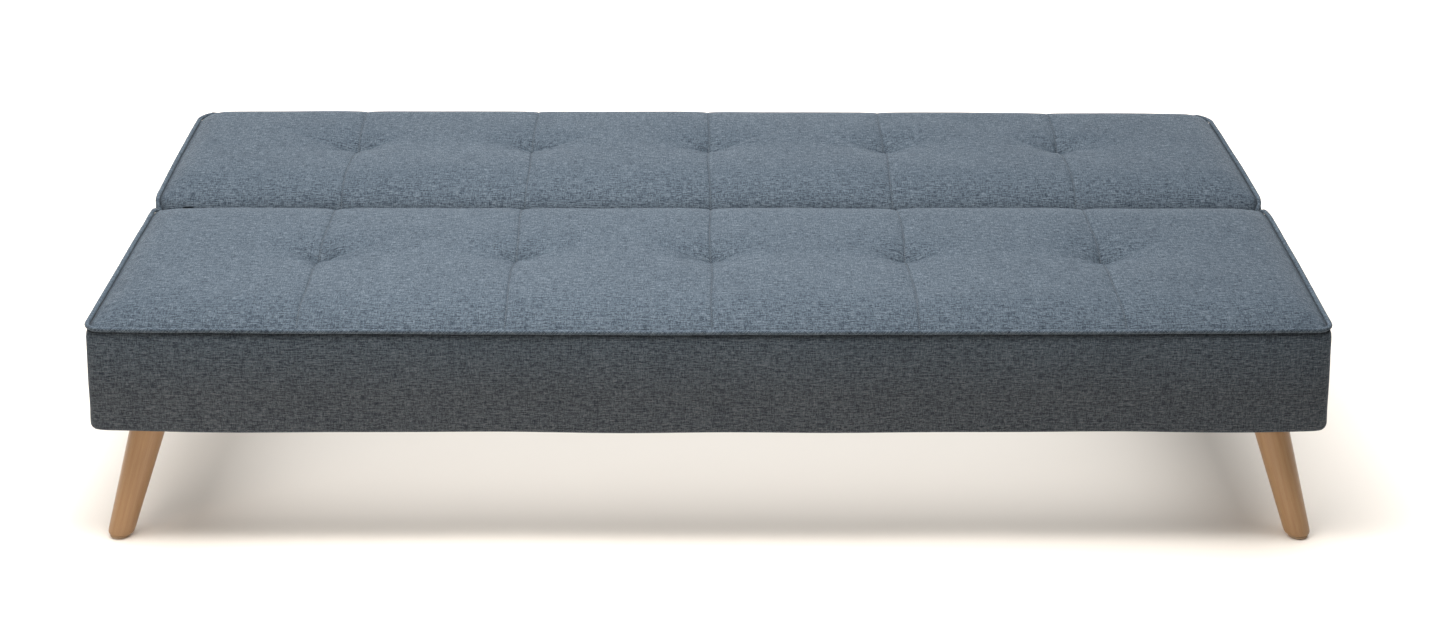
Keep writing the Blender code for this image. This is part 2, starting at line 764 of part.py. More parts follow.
def make_materials():
    return {
        "fabric": new_material("upholstery", (0.18, 0.22, 0.25), 0.95),
        "piping": new_material("piping", (0.16, 0.20, 0.23), 0.9),
        "foam": new_material("foam", (0.85, 0.80, 0.55), 1.0),
        "cloth": new_material("dust_cloth", (0.02, 0.02, 0.02), 1.0),
        "timber": new_material("timber", (0.55, 0.40, 0.24), 0.8),
        "leg": new_material("leg_wood", (0.42, 0.25, 0.13), 0.45),
        "steel": new_material("black_steel", (0.03, 0.03, 0.03), 0.4, 0.8),
        "zinc": new_material("zinc", (0.6, 0.6, 0.58), 0.35, 1.0),
        "spring": new_material("spring_steel", (0.35, 0.35, 0.36), 0.4, 1.0),
        "webbing": new_material("webbing", (0.25, 0.22, 0.18), 0.9),
        "plastic": new_material("glide_plastic", (0.42, 0.30, 0.19), 0.6),
    }


def build_seat(materials):
    frame = (SEAT_FRAME_X, FRONT_Y + FRAME_INSET, SEAT_REAR_Y - 0.015)
    front_bolts = [(side * FRONT_BOLT[0], FRONT_BOLT[1]) for side in (-1, 1)]
    rear_bolts = [(side * REAR_BOLT[0], REAR_BOLT[1]) for side in (-1, 1)]
    timber_frame("seat", frame, (front_bolts, rear_bolts), materials["timber"])
    seat_springs(frame, materials["spring"])
    foam("seat_foam", SEAT_SLAB, frame, -POCKET_REACH, materials["foam"])
    cover("seat_cover", SEAT_SLAB, -POCKET_REACH, materials["fabric"])
    dust_cover("seat_dust_cover", SEAT_SLAB, front_bolts + rear_bolts, materials["cloth"])
    seat_piping(materials["piping"])
    for side in (-1, 1):
        x, y = FRONT_BOLT
        under = BEAM_TOP - LEG_PLATE
        frame_bolt(f"frame_bolt_front_{SIDE[side]}", side * x, y, under, materials["zinc"])
        x, y = REAR_BOLT
        under = BEAM_TOP - BEAM_HEIGHT
        frame_bolt(f"frame_bolt_rear_{SIDE[side]}", side * x, y, under, materials["zinc"])


def build_back(materials, back_axis):
    frame = (SEAT_FRAME_X - HINGE_STEP, BACK_FRONT_Y + 0.015, REAR_Y - FRAME_INSET)
    pieces = timber_frame("back", frame, ([], []), materials["timber"])
    pieces.append(back_webbing(frame, materials["webbing"]))
    pieces.append(foam("back_foam", BACK_SLAB, frame, POCKET_REACH, materials["foam"]))
    pieces.append(cover("back_cover", BACK_SLAB, POCKET_REACH, materials["fabric"]))
    pieces.append(dust_cover("back_dust_cover", BACK_SLAB, [], materials["cloth"]))
    for side in (-1, 1):
        pieces.append(back_piping(side, materials["piping"]))
    for piece in pieces:
        on_axis(piece, back_axis)


def build_base(materials):
    for side in (-1, 1):
        beam(side, materials["steel"])
        front_holes = [(LEG_TOP_X, FRONT_LEG_TOP_Y), FRONT_BOLT]
        rear_holes = [(LEG_TOP_X, REAR_LEG_TOP_Y)]
        base_corner("front", side, FRONT_LEG_TOP_Y, -LEG_SPLAY_Y, front_holes, materials)
        base_corner("rear", side, REAR_LEG_TOP_Y, LEG_SPLAY_Y, rear_holes, materials)
    for name, y in zip(("front", "rear"), CROSSBAR_Y):
        crossbar(f"base_crossbar_{name}", y, materials["steel"])


clear_scene()
SIDE = {-1: "left", 1: "right"}
PARTS = new_collection("Futon sofa bed")
CUTTERS = new_collection("Cutters")
MATERIALS = make_materials()
BACK_AXIS = joint_empty("back_axis", (0, AXIS_Y, AXIS_Z))
build_base(MATERIALS)
build_seat(MATERIALS)
build_back(MATERIALS, BACK_AXIS)
for hinge_side in (-1, 1):
    hinge(hinge_side, BACK_AXIS, MATERIALS)
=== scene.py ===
import json
import math
import random

import bmesh
import bpy
import numpy as np
from mathutils import Matrix, Vector, noise


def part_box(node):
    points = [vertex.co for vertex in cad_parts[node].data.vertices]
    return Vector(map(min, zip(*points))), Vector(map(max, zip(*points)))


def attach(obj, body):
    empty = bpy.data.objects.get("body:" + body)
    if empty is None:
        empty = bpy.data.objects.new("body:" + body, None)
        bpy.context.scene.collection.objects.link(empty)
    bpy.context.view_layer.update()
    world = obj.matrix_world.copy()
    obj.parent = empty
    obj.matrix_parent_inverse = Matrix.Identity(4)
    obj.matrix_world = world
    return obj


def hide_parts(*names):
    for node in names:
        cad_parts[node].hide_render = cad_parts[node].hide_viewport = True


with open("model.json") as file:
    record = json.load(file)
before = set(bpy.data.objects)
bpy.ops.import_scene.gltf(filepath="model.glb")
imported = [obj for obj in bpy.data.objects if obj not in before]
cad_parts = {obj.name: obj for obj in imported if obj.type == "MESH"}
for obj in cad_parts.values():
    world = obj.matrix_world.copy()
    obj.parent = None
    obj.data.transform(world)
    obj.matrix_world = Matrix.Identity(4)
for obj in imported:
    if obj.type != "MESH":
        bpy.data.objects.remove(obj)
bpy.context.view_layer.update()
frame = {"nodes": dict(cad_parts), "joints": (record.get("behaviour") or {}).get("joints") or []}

NODES = frame["nodes"]
AXIS = Vector(frame["joints"][0]["pos_m"])
noise.seed_set(7)  # without it, noise_vector differs from run to run

# ---------------- measures, in metres

SEAT_LOW, SEAT_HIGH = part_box("seat_cover")
PIPING_LOW, PIPING_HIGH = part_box("seat_piping")
HALF = SEAT_HIGH.x
BOTTOM = SEAT_LOW.z
PIPING = 0.0035  # piping radius
SEAM_Z = PIPING_HIGH.z - PIPING
CROWN_RUN, CROWN = 0.090, 0.0168  # how far in, and how high, the padding rises from a piped edge
SIDE_RUN = 0.058  # it rises sooner from the side edges
FALL_RUN, FALL = 0.110, 0.050  # how the padding rounds down into the joint
ROLL_RUN, ROLL = 0.055, 0.045  # and over the rear edge
PUFF = 0.0030  # how far the padding is pressed out before the simulation
PRESS_CAP = 0.0012  # how far the simulation may move the cloth from there
SEAMS = (-0.60, -0.30, 0.0, 0.30, 0.60)
SEAT_TUFTS, BACK_TUFTS = -0.227, 0.272  # where the lines of tufts lie in y
TUFT_DEPTH = 0.0195
TUFT_X, TUFT_Y = 0.037, 0.023  # spread of a tuft's dimple
VALLEY_DEPTH, VALLEY_WIDTH = 0.0036, 0.024  # the shallow valley along a seam
SIDE_CLOTH = 0.16  # cloth from the seam down to the hem
HEM = 0.034  # fabric folded beneath
HEM_Z = 0.0006  # the hem's lower face above the slab's lowest point
HEM_THICK = 0.0012
HANG = 0.0036  # how far the padded lower edges sink below the hem
SKIRT = 0.0150  # from the outer face to the frame's space
CAVITY_Z = 0.2775
JOINT_BEND = 0.028
REAR_CORNER = 0.040
FRONT_CORNER = 0.020
JOINT_CORNER = 0.017
LOWER_EDGE = 0.0052  # radius of the side panels' lower edge
PIPED_REAR = (0.836, 0.876)  # where the back's rear edge turns from rolled to piped
STEP_X, STEP_Y = 0.0098, 0.0095  # the cushions' widest mesh spacing
NEAR_EDGE = (0.0, 0.004, 0.011, 0.020, 0.030, 0.041)  # and the closer lines beside an edge,
NEAR_SEAM = (0.0, 0.0022, 0.0065, 0.013)  # beside a seam
NEAR_TUFT = (0.0, 0.003, 0.007, 0.012, 0.018, 0.026)  # and beside the line of tufts
RINGS = (0.0, 0.012, HEM, HEM, SKIRT, SKIRT)  # the fold beneath, as distances from the edge
RING_Z = (HEM_Z, HEM_Z, HEM_Z, HEM_Z + HEM_THICK, HEM_Z + HEM_THICK, CAVITY_Z - BOTTOM)
TOUCH = 1e-6  # nearer than this is on an edge


def ease(t):
    t = np.clip(t, 0.0, 1.0)
    return t * t * (3.0 - 2.0 * t)


def bell(d, width):
    """1 at no distance, falling off smoothly over the width."""
    return np.exp(-((d / width) ** 2))


def rise(d, run):
    """0 at an edge and 1 from the given run inwards, steepest at the edge."""
    return 1.0 - (1.0 - np.clip(d / run, 0.0, 1.0)) ** 2.4


def fall(d, run, power=2.0):
    """How far a quarter ellipse has dropped at this distance from its outer edge: 1 at the edge."""
    inwards = 1.0 - (1.0 - np.clip(d / run, 0.0, 1.0)) ** power
    return 1.0 - np.clip(inwards, 0.0, 1.0) ** (1.0 / power)


def joint_drop(d):
    """How far the piping has turned down at this distance from the joint's face."""
    s = np.clip(JOINT_BEND + PIPING - d, 0.0, 0.985 * JOINT_BEND)
    return JOINT_BEND - np.sqrt(JOINT_BEND ** 2 - s ** 2)


class Slab:
    """The seat, with the joint at its rear, or the back, with the joint at its front."""

    def __init__(self, name, tuft_y, front_corner, rear_corner):
        low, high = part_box(name + "_cover")
        self.name = name
        self.is_seat = name == "seat"
        self.front, self.rear = low.y, high.y
        self.tuft_y = tuft_y
        self.corner = {-1: front_corner, 1: rear_corner}

    def joint_distance(self, y):
        return self.rear - y if self.is_seat else y - self.front

    def far_distance(self, y):
        return y - self.front if self.is_seat else self.rear - y

    def edge_z(self, y):
        return SEAM_Z - joint_drop(self.joint_distance(y))

    def top(self, x, y):
        """Height of the padding, before it is pressed out and tufted."""
        side = rise(HALF - np.abs(x), SIDE_RUN)
        edge = self.edge_z(y)
        if self.is_seat:
            joint = fall(self.joint_distance(y), FALL_RUN, 2.15)
            crown, roll = CROWN * rise(y - self.front, CROWN_RUN), 0.0
        else:
            joint = fall(self.joint_distance(y), 1.3 * FALL_RUN, 2.5)
            rolled = 1.0 - ease((np.abs(x) - PIPED_REAR[0]) / (PIPED_REAR[1] - PIPED_REAR[0]))
            crown = CROWN * (rolled + (1.0 - rolled) * rise(self.rear - y, SIDE_RUN))
            crown = crown + 0.0022 * (1.0 - (x / HALF) ** 2) * ease(self.joint_distance(y) / 0.20)
            roll = ROLL * rolled * fall(self.rear - y, ROLL_RUN)
        return edge + side * (SEAM_Z + crown - FALL * joint - edge) - roll


SEAT = Slab("seat", SEAT_TUFTS, FRONT_CORNER, JOINT_CORNER)
BACK = Slab("back", BACK_TUFTS, JOINT_CORNER, REAR_CORNER)


def stray(x, y, slab):
    """How far a slab's outline strays from a straight box, as upholstery does, as shifts in x, y and z."""
    s = np.clip(slab.joint_distance(y) / (slab.rear - slab.front), 0.0, 1.0)
    if slab.is_seat:
        turn = np.clip(1.0 - s / 0.12, 0.0, 1.0) ** 2
        left = 0.0070 * s ** 1.3 - 0.0012 - 0.004 * turn
        right = 0.0050 - 0.0036 * s * s - 0.010 * turn
        near = ease((slab.front + 0.17 - y) / 0.17)
        bow = 1.0 - (x / HALF) ** 2
        dy = -near * (0.0060 - 0.0020 * x + 0.0050 * bow)
        dz = -near * 0.0018 * bow - 0.0020 * ease((0.1 - x) / 0.7) * ease((y + 0.16) / 0.12)
    else:
        left, right = 0.0020 + 0.0014 * np.sin(math.pi * s), 0.0042 - 0.0072 * s ** 2.2
        dy = dz = 0.0 * x
    return np.sign(x) * np.where(x < 0, left, right) * ease((np.abs(x) - 0.62) / 0.27), dy, dz


def tufting(x, y, slab):
    """The dimples and the shallow valleys along the seams, as a depth."""
    depth = np.zeros_like(x)
    run = 0.25 + 0.75 * ease(slab.far_distance(y) / 0.14)
    for i, seam in enumerate(SEAMS):
        dx, dy = x - seam, y - slab.tuft_y
        r = np.sqrt((dx / TUFT_X) ** 2 + (dy / TUFT_Y) ** 2 + 0.012)
        depth += TUFT_DEPTH * np.exp(-r) * (0.94 + 0.05 * math.sin(3.1 * i + slab.front * 9))
        depth += VALLEY_DEPTH * bell(dx, VALLEY_WIDTH) * np.exp(-np.abs(dy) / 0.30) * run
    return depth


# ---------------- node materials


class Nodes:
    """A procedural material in the making. Its methods add a node and give its output."""

    def __init__(self, name, roughness, **sockets):
        self.material = bpy.data.materials.new(name)
        self.material.use_nodes = True
        self.tree = self.material.node_tree
        self.sockets = self.tree.nodes["Principled BSDF"].inputs
        self.put(self.sockets["Roughness"], roughness)
        for key, value in sockets.items():
            self.put(self.sockets[key.replace("_", " ")], value)

    def put(self, socket, value):
        """Links an output to a socket or sets its value, a colour without its alpha."""
        if hasattr(value, "is_output"):
            self.tree.links.new(value, socket)
        else:
            socket.default_value = (*value, 1.0) if socket.type == "RGBA" else value

    def node(self, kind, output, *inputs, **settings):
        node = self.tree.nodes.new(kind)
        for key, value in settings.items():
            setattr(node, key, value)
        for key, value in inputs:
            self.put(node.inputs[key], value)
        return node.outputs[output]

    def object(self):
        return self.node("ShaderNodeTexCoord", "Object")

    def attribute(self, name, output):
        return self.node("ShaderNodeAttribute", output, attribute_name=name)

    def scaled(self, vector, scale, turn=0.0):
        inputs = ("Vector", vector), ("Scale", scale), ("Rotation", (0.0, 0.0, turn))
        return self.node("ShaderNodeMapping", "Vector", *inputs)

    def noise(self, vector, scale, detail=2.0, roughness=0.5):
        """Noise of one scale, or of a scale along each axis."""
        if isinstance(scale, tuple):
            vector, scale = self.scaled(vector, scale), 1.0
        inputs = ("Vector", vector), ("Scale", scale), ("Detail", detail), ("Roughness", roughness)
        return self.node("ShaderNodeTexNoise", "Fac", *inputs)

    def wave(self, vector, scale, direction="X", distortion=0.0, detail=0.0, detail_scale=1.0):
        inputs = ("Vector", vector), ("Scale", scale), ("Distortion", distortion), ("Detail", detail)
        more = ("Detail Scale", detail_scale)
        return self.node("ShaderNodeTexWave", "Fac", *inputs, more, bands_direction=direction)

    def math(self, operation, a, b):
        return self.node("ShaderNodeMath", 0, (0, a), (1, b), operation=operation)

    def total(self, *terms):
        """The sum of the values, each times its weight."""
        first, *others = [self.math("MULTIPLY", value, weight) for value, weight in terms]
        for other in others:
            first = self.math("ADD", first, other)
        return first

    def blended(self, *terms):
        """A value around 0.5, from the weighted values' distances from 0.5."""
        away = [(self.math("SUBTRACT", value, 0.5), weight) for value, weight in terms]
        return self.math("ADD", self.total(*away), 0.5)

    def remap(self, value, low, high, to_low=0.0, to_high=1.0):
        limits = ("From Min", low), ("From Max", high), ("To Min", to_low), ("To Max", to_high)
        return self.node("ShaderNodeMapRange", "Result", ("Value", value), *limits)

    def ramp(self, value, *stops):
        output = self.node("ShaderNodeValToRGB", "Color", ("Fac", value))
        elements = output.node.color_ramp.elements
        while len(elements) < len(stops):
            elements.new(0.5)
        for element, (place, colour) in zip(elements, stops):
            element.position = place
            element.color = (*colour, 1.0)
        return output

    def mix(self, amount, a, b, blend="MIX"):
        node = self.node("ShaderNodeMix", 0, ("Factor", amount), data_type="RGBA", blend_type=blend).node
        colours = [s for s in node.inputs if s.type == "RGBA"]
        for socket, value in zip(colours, (a, b)):
            self.put(socket, value)
        return next(s for s in node.outputs if s.type == "RGBA")

    def bump(self, height, strength, distance):
        inputs = ("Height", height), ("Strength", strength), ("Distance", distance)
        return self.node("ShaderNodeBump", "Normal", *inputs)

    def finish(self, colour, roughness=None, normal=None):
        for key, value in (("Base Color", colour), ("Roughness", roughness), ("Normal", normal)):
            if value is not None:
                self.put(self.sockets[key], value)
        return self.material


def weave_material(name, tint=1.0, turn=0.0, painted_bounce_below=False):
    """Linen-look upholstery: fine threads both ways, long slubs along the cloth and flecks of light yarn.
    It carries painted shade where the cloth is creased, and can carry painted warm floor-bounce light
    towards the hem."""
    sheen = {"Sheen_Weight": 0.06, "Sheen_Roughness": 0.45, "Sheen_Tint": (0.72, 0.84, 1.0)}
    m = Nodes(name, 0.92, Specular_IOR_Level=0.22, **sheen)
    uv = m.scaled(m.node("ShaderNodeUVMap", "UV", uv_map="weave"), (1, 1, 1), turn)
    slub = m.noise(uv, (110, 640, 1), roughness=0.6)
    long_slub = m.noise(uv, (34, 400, 1), roughness=0.55)
    warp = m.noise(uv, (640, 110, 1), roughness=0.6)
    streak = m.noise(uv, (260, 16, 1), 1.0)
    grain = m.noise(uv, (560, 560, 1), 2.5, 0.7)
    cloud = m.noise(uv, (5.5, 7.5, 1))
    threads = (slub, 1.60), (long_slub, 0.90), (warp, 1.20), (streak, 0.24), (grain, 1.15)
    value = m.blended(*threads, (cloud, 0.12))
    tinted = lambda *colour: tuple(c * tint for c in colour)
    dark, mid = tinted(0.0130, 0.0195, 0.0290), tinted(0.0430, 0.0575, 0.0735)
    light, yarn = tinted(0.0950, 0.1165, 0.1390), tinted(0.135, 0.155, 0.168)
    colour = m.ramp(value, (0.10, dark), (0.50, mid), (0.90, light))
    fleck = m.noise(uv, (130, 900, 3), 1.0)
    colour = m.mix(m.remap(fleck, 0.63, 0.74, 0.0, 0.60), colour, yarn)
    # painted light: warm floor bounce, tinting the sides warmer and a little darker from below the seam down
    # to the hem
    if painted_bounce_below:
        height = m.node("ShaderNodeSeparateXYZ", "Z", ("Vector", m.object()))
        low = m.remap(height, SEAM_Z - 0.004, SEAM_Z - 0.10)
        colour = m.mix(low, colour, (0.955, 0.855, 0.795), "MULTIPLY")
    # painted shade: the crease attribute darkens the cloth in creases, seams, tuft folds and under the
    # piping
    shade = m.remap(m.attribute("crease", "Fac"), 0.0, 1.0, 1.0, 0.38)
    colour = m.node("ShaderNodeHueSaturation", "Color", ("Color", colour), ("Value", shade))
    over = m.wave(uv, 170.0, "X", 1.6, 1.0, 2.0)
    under = m.wave(uv, 200.0, "Y", 1.6, 1.0, 2.0)
    height = m.total((m.total((over, 0.5), (under, 0.5)), 0.55), (value, 0.9))
    return m.finish(colour, m.remap(value, 0.2, 0.8, 0.97, 0.84), m.bump(height, 0.55, 0.0006))


def beech_material():
    """Pale beech: fine grain along the leg, short darker flecks, a satin lacquer."""
    m = Nodes("beech", 0.42, Coat_Weight=0.12, Coat_Roughness=0.28)
    at = m.attribute("grain", "Vector")
    bend = m.noise(at, (6, 6, 2.5), 1.5)
    rings = m.wave(m.scaled(at, (1, 0.35, 0.05)), 34.0, "X", 3.2, 2.0, 1.2)
    fibre = m.noise(at, (620, 620, 9), 3.0, 0.6)
    fleck = m.noise(at, (1500, 420, 70), 1.0)
    value = m.blended((rings, 0.13), (bend, 0.85), (fibre, 0.55))
    dark, mid, light = (0.262, 0.134, 0.054), (0.328, 0.184, 0.081), (0.380, 0.234, 0.113)
    colour = m.ramp(value, (0.15, dark), (0.5, mid), (0.9, light))
    colour = m.mix(m.remap(fleck, 0.66, 0.76, 0.0, 0.45), colour, (0.203, 0.096, 0.040))
    return m.finish(colour, m.remap(fibre, 0.3, 0.7, 0.36, 0.52), m.bump(fibre, 0.18, 0.0004))


def timber_material():
    m = Nodes("pine_timber", 0.75)
    at = m.object()
    rings = m.wave(m.scaled(at, (0.6, 6.0, 9.0)), 6.0, "Z", 6.0, 3.0, 0.8)
    fibre = m.noise(at, (25, 420, 420), 3.0)
    dark, mid, light = (0.42, 0.26, 0.12), (0.60, 0.42, 0.23), (0.70, 0.54, 0.34)
    colour = m.ramp(m.total((rings, 0.5), (fibre, 0.5)), (0.2, dark), (0.55, mid), (0.85, light))
    return m.finish(colour, None, m.bump(fibre, 0.35, 0.0006))


def coated_steel_material():
    """Black powder coat: a fine pebbled skin, rubbed a little lighter in patches."""
    m = Nodes("powder_coated_steel", 0.42, Specular_IOR_Level=0.5)
    at = m.object()
    pebble = m.noise(at, 900.0)
    rub = m.noise(at, 14.0, 4.0, 0.65)
    colour = m.ramp(m.remap(rub, 0.35, 0.75), (0.0, (0.014, 0.014, 0.015)), (1.0, (0.040, 0.040, 0.042)))
    return m.finish(colour, m.remap(rub, 0.3, 0.7, 0.36, 0.55), m.bump(pebble, 0.35, 0.0003))


def plated_material(name, dark, light):
    m = Nodes(name, 0.35, Metallic=1.0)
    at = m.object()
    patch = m.noise(at, 60.0, 4.0, 0.6)
    scratch = m.noise(at, (900, 60, 60))
    colour = m.ramp(m.remap(patch, 0.3, 0.7), (0.0, dark), (1.0, light))
    return m.finish(colour, m.remap(scratch, 0.3, 0.7, 0.24, 0.45), m.bump(scratch, 0.10, 0.0002))


def nonwoven_material():
    """Thin black dust cloth: pressed fibres with a grid of tiny bonded dots."""
    m = Nodes("dust_cloth_fibre", 0.85, Sheen_Weight=0.10)
    at = m.object()
    fibre = m.noise(at, (260, 90, 90), 4.0, 0.7)
    dots = m.node("ShaderNodeTexVoronoi", "Distance", ("Vector", at), ("Scale", 420.0))
    colour = m.ramp(fibre, (0.3, (0.010, 0.010, 0.011)), (0.75, (0.045, 0.045, 0.048)))
    height = m.total((fibre, 1.0), (dots, 0.6))
    return m.finish(colour, m.remap(fibre, 0.3, 0.7, 0.72, 0.95), m.bump(height, 0.5, 0.0005))


def webbing_material():
    m = Nodes("elastic_webbing", 0.9, Sheen_Weight=0.15)
    at = m.object()
    crossing = m.math("MULTIPLY", m.wave(at, 150.0, "X", 0.4), m.wave(at, 150.0, "Y", 0.4))
    value = m.total((crossing, 0.7), (m.noise(at, 500.0), 0.4))
    colour = m.ramp(value, (0.1, (0.10, 0.085, 0.065)), (0.8, (0.30, 0.26, 0.20)))
    return m.finish(colour, None, m.bump(value, 0.5, 0.0005))


def plastic_material():
    m = Nodes("moulded_plastic", 0.5)
    at = m.object()
    grain = m.noise(at, 1200.0)
    scuff = m.noise(at, 90.0, 4.0, 0.7)
    colour = m.ramp(m.remap(scuff, 0.4, 0.8), (0.0, (0.36, 0.24, 0.14)), (1.0, (0.47, 0.34, 0.22)))
    return m.finish(colour, m.remap(scuff, 0.3, 0.7, 0.45, 0.68), m.bump(grain, 0.25, 0.0002))


def thread_material():
    m = Nodes("seam_thread", 0.75, Sheen_Weight=0.2)
    twist = m.wave(m.scaled(m.object(), (1, 1, 1), 0.7), 900.0, "X", 0.5)
    colour = m.ramp(twist, (0.2, (0.030, 0.040, 0.052)), (0.8, (0.075, 0.095, 0.115)))
    return m.finish(colour, None, m.bump(twist, 0.3, 0.0002))


THREAD = thread_material()
STAPLE = plated_material("staple_wire", (0.50, 0.50, 0.50), (0.72, 0.72, 0.72))
FINISH = {  # by the name of the CAD nodes' material; the foam never shows
    "upholstery": weave_material("heathered_weave", painted_bounce_below=True),
    "piping": weave_material("heathered_weave_bias", 1.12, math.radians(45)),
    "leg_wood": beech_material(),
    "timber": timber_material(),
    "black_steel": coated_steel_material(),
    "zinc": plated_material("zinc_plate", (0.42, 0.42, 0.40), (0.66, 0.66, 0.63)),
    "spring_steel": plated_material("spring_wire", (0.20, 0.20, 0.21), (0.38, 0.38, 0.39)),
    "dust_cloth": nonwoven_material(),
    "webbing": webbing_material(),
    "glide_plastic": plastic_material(),
}

# ---------------- meshes


def new_piece(name, points, faces, material, uvs=None):
    mesh = bpy.data.meshes.new(name)
    mesh.from_pydata([tuple(map(float, p)) for p in points], [], [list(map(int, f)) for f in faces])
    if uvs is not None:
        layer = mesh.uv_layers.new(name="weave")
        layer.data.foreach_set("uv", np.asarray(uvs, np.float32).ravel())
    mesh.polygons.foreach_set("use_smooth", [True] * len(mesh.polygons))
    mesh.materials.append(material)
    mesh.validate()
    mesh.update()
    piece = bpy.data.objects.new(name, mesh)
    bpy.context.scene.collection.objects.link(piece)
    return piece


def apply_modifiers(piece):
    """Applies a piece's modifiers."""
    graph = bpy.context.evaluated_depsgraph_get()
    shaped = piece.evaluated_get(graph)
    mesh = bpy.data.meshes.new_from_object(shaped, preserve_all_data_layers=True, depsgraph=graph)
    old = piece.data
    piece.modifiers.clear()
    piece.data = mesh
    if old.users == 0:
        bpy.data.meshes.remove(old)
    mesh.name = piece.name


def coords(mesh):
    co = np.zeros(len(mesh.vertices) * 3)
    mesh.vertices.foreach_get("co", co)
    return co.reshape(-1, 3)


def set_coords(mesh, co):
    mesh.vertices.foreach_set("co", np.asarray(co, np.float32).ravel())
    mesh.update()


def edge_ends(mesh):
    """The two points of each edge."""
    ends = np.zeros(len(mesh.edges) * 2, np.int32)
    mesh.edges.foreach_get("vertices", ends)
    return ends.reshape(-1, 2).T


def add_attribute(mesh, name, kind, values, domain="POINT"):
    layer = mesh.attributes.new(name, kind, domain)
    field = "vector" if kind == "FLOAT_VECTOR" else "value"
    layer.data.foreach_set(field, np.asarray(values, np.float32).ravel())


def read_flat(mesh):
    """Each point's place on the cloth: x, y and how far up the side it is."""
    flat = np.zeros(len(mesh.vertices) * 3, np.float32)
    mesh.attributes["flat"].data.foreach_get("vector", flat)
    return flat.reshape(-1, 3).astype(float)


def face_outwards(mesh, edit=None):
    """Turns a mesh's faces outwards, after an edit of it."""
    bm = bmesh.new()
    bm.from_mesh(mesh)
    if edit:
        edit(bm)
    bmesh.ops.recalc_face_normals(bm, faces=bm.faces)
    bm.to_mesh(mesh)
    bm.free()
    mesh.update()


def stops(fixed, step):
    """The fixed stops, and evenly spaced ones between them no further apart than the step."""
    fixed = sorted(set(round(f, 6) for f in fixed))
    line = [fixed[0]]
    for a, b in zip(fixed, fixed[1:]):
        count = max(1, math.ceil((b - a) / step - 1e-6))
        line += [a + (b - a) * i / count for i in range(1, count + 1)]
    return np.array(line)


def turns(sides):
    """Angles around a circle."""
    return [2 * math.pi * s / sides for s in range(sides)]


def around(sides):
    """Each side of a ring with the next."""
    return [(s, (s + 1) % sides) for s in range(sides)]


def tube_faces(base, rings, sides):
    """Faces of a tube whose rings of points start at the base, closed at both ends."""
    faces = []
    for low in range(base, base + (rings - 1) * sides, sides):
        high = low + sides
        faces += [(low + s, low + e, high + e, high + s) for s, e in around(sides)]
    last = base + (rings - 1) * sides
    return faces + [tuple(base + s for s in range(sides))[::-1], tuple(last + s for s in range(sides))]


def lathe(profile, sides):
    """Points around Z from a profile of radii and heights, and the faces between them."""
    points, rings = [], []
    for r, h in profile:
        ring = [(r * math.cos(a), r * math.sin(a), h) for a in turns(sides if r else 1)]
        rings.append(range(len(points), len(points) + len(ring)))
        points += ring
    faces = []
    for a, b in zip(rings, rings[1:]):
        for s, e in around(sides):
            quad = (a[s % len(a)], a[e % len(a)], b[e % len(b)], b[s % len(b)])
            faces.append(tuple(dict.fromkeys(quad)))
    return points, faces


def cloth_run(X, Y, slab):
    """Distance along the cloth from the line of tufts, over the padding's rise and fall, at each x and y."""
    x, y = np.meshgrid(X, Y, indexing="ij")
    steps = np.hypot(np.diff(y, axis=1), np.diff(slab.top(x, y), axis=1))
    run = np.concatenate((np.zeros((len(X), 1)), np.cumsum(steps, axis=1)), axis=1)
    at_tufts = int(np.argmin(np.abs(Y - slab.tuft_y)))
    return slab.tuft_y + run - run[:, at_tufts:at_tufts + 1]


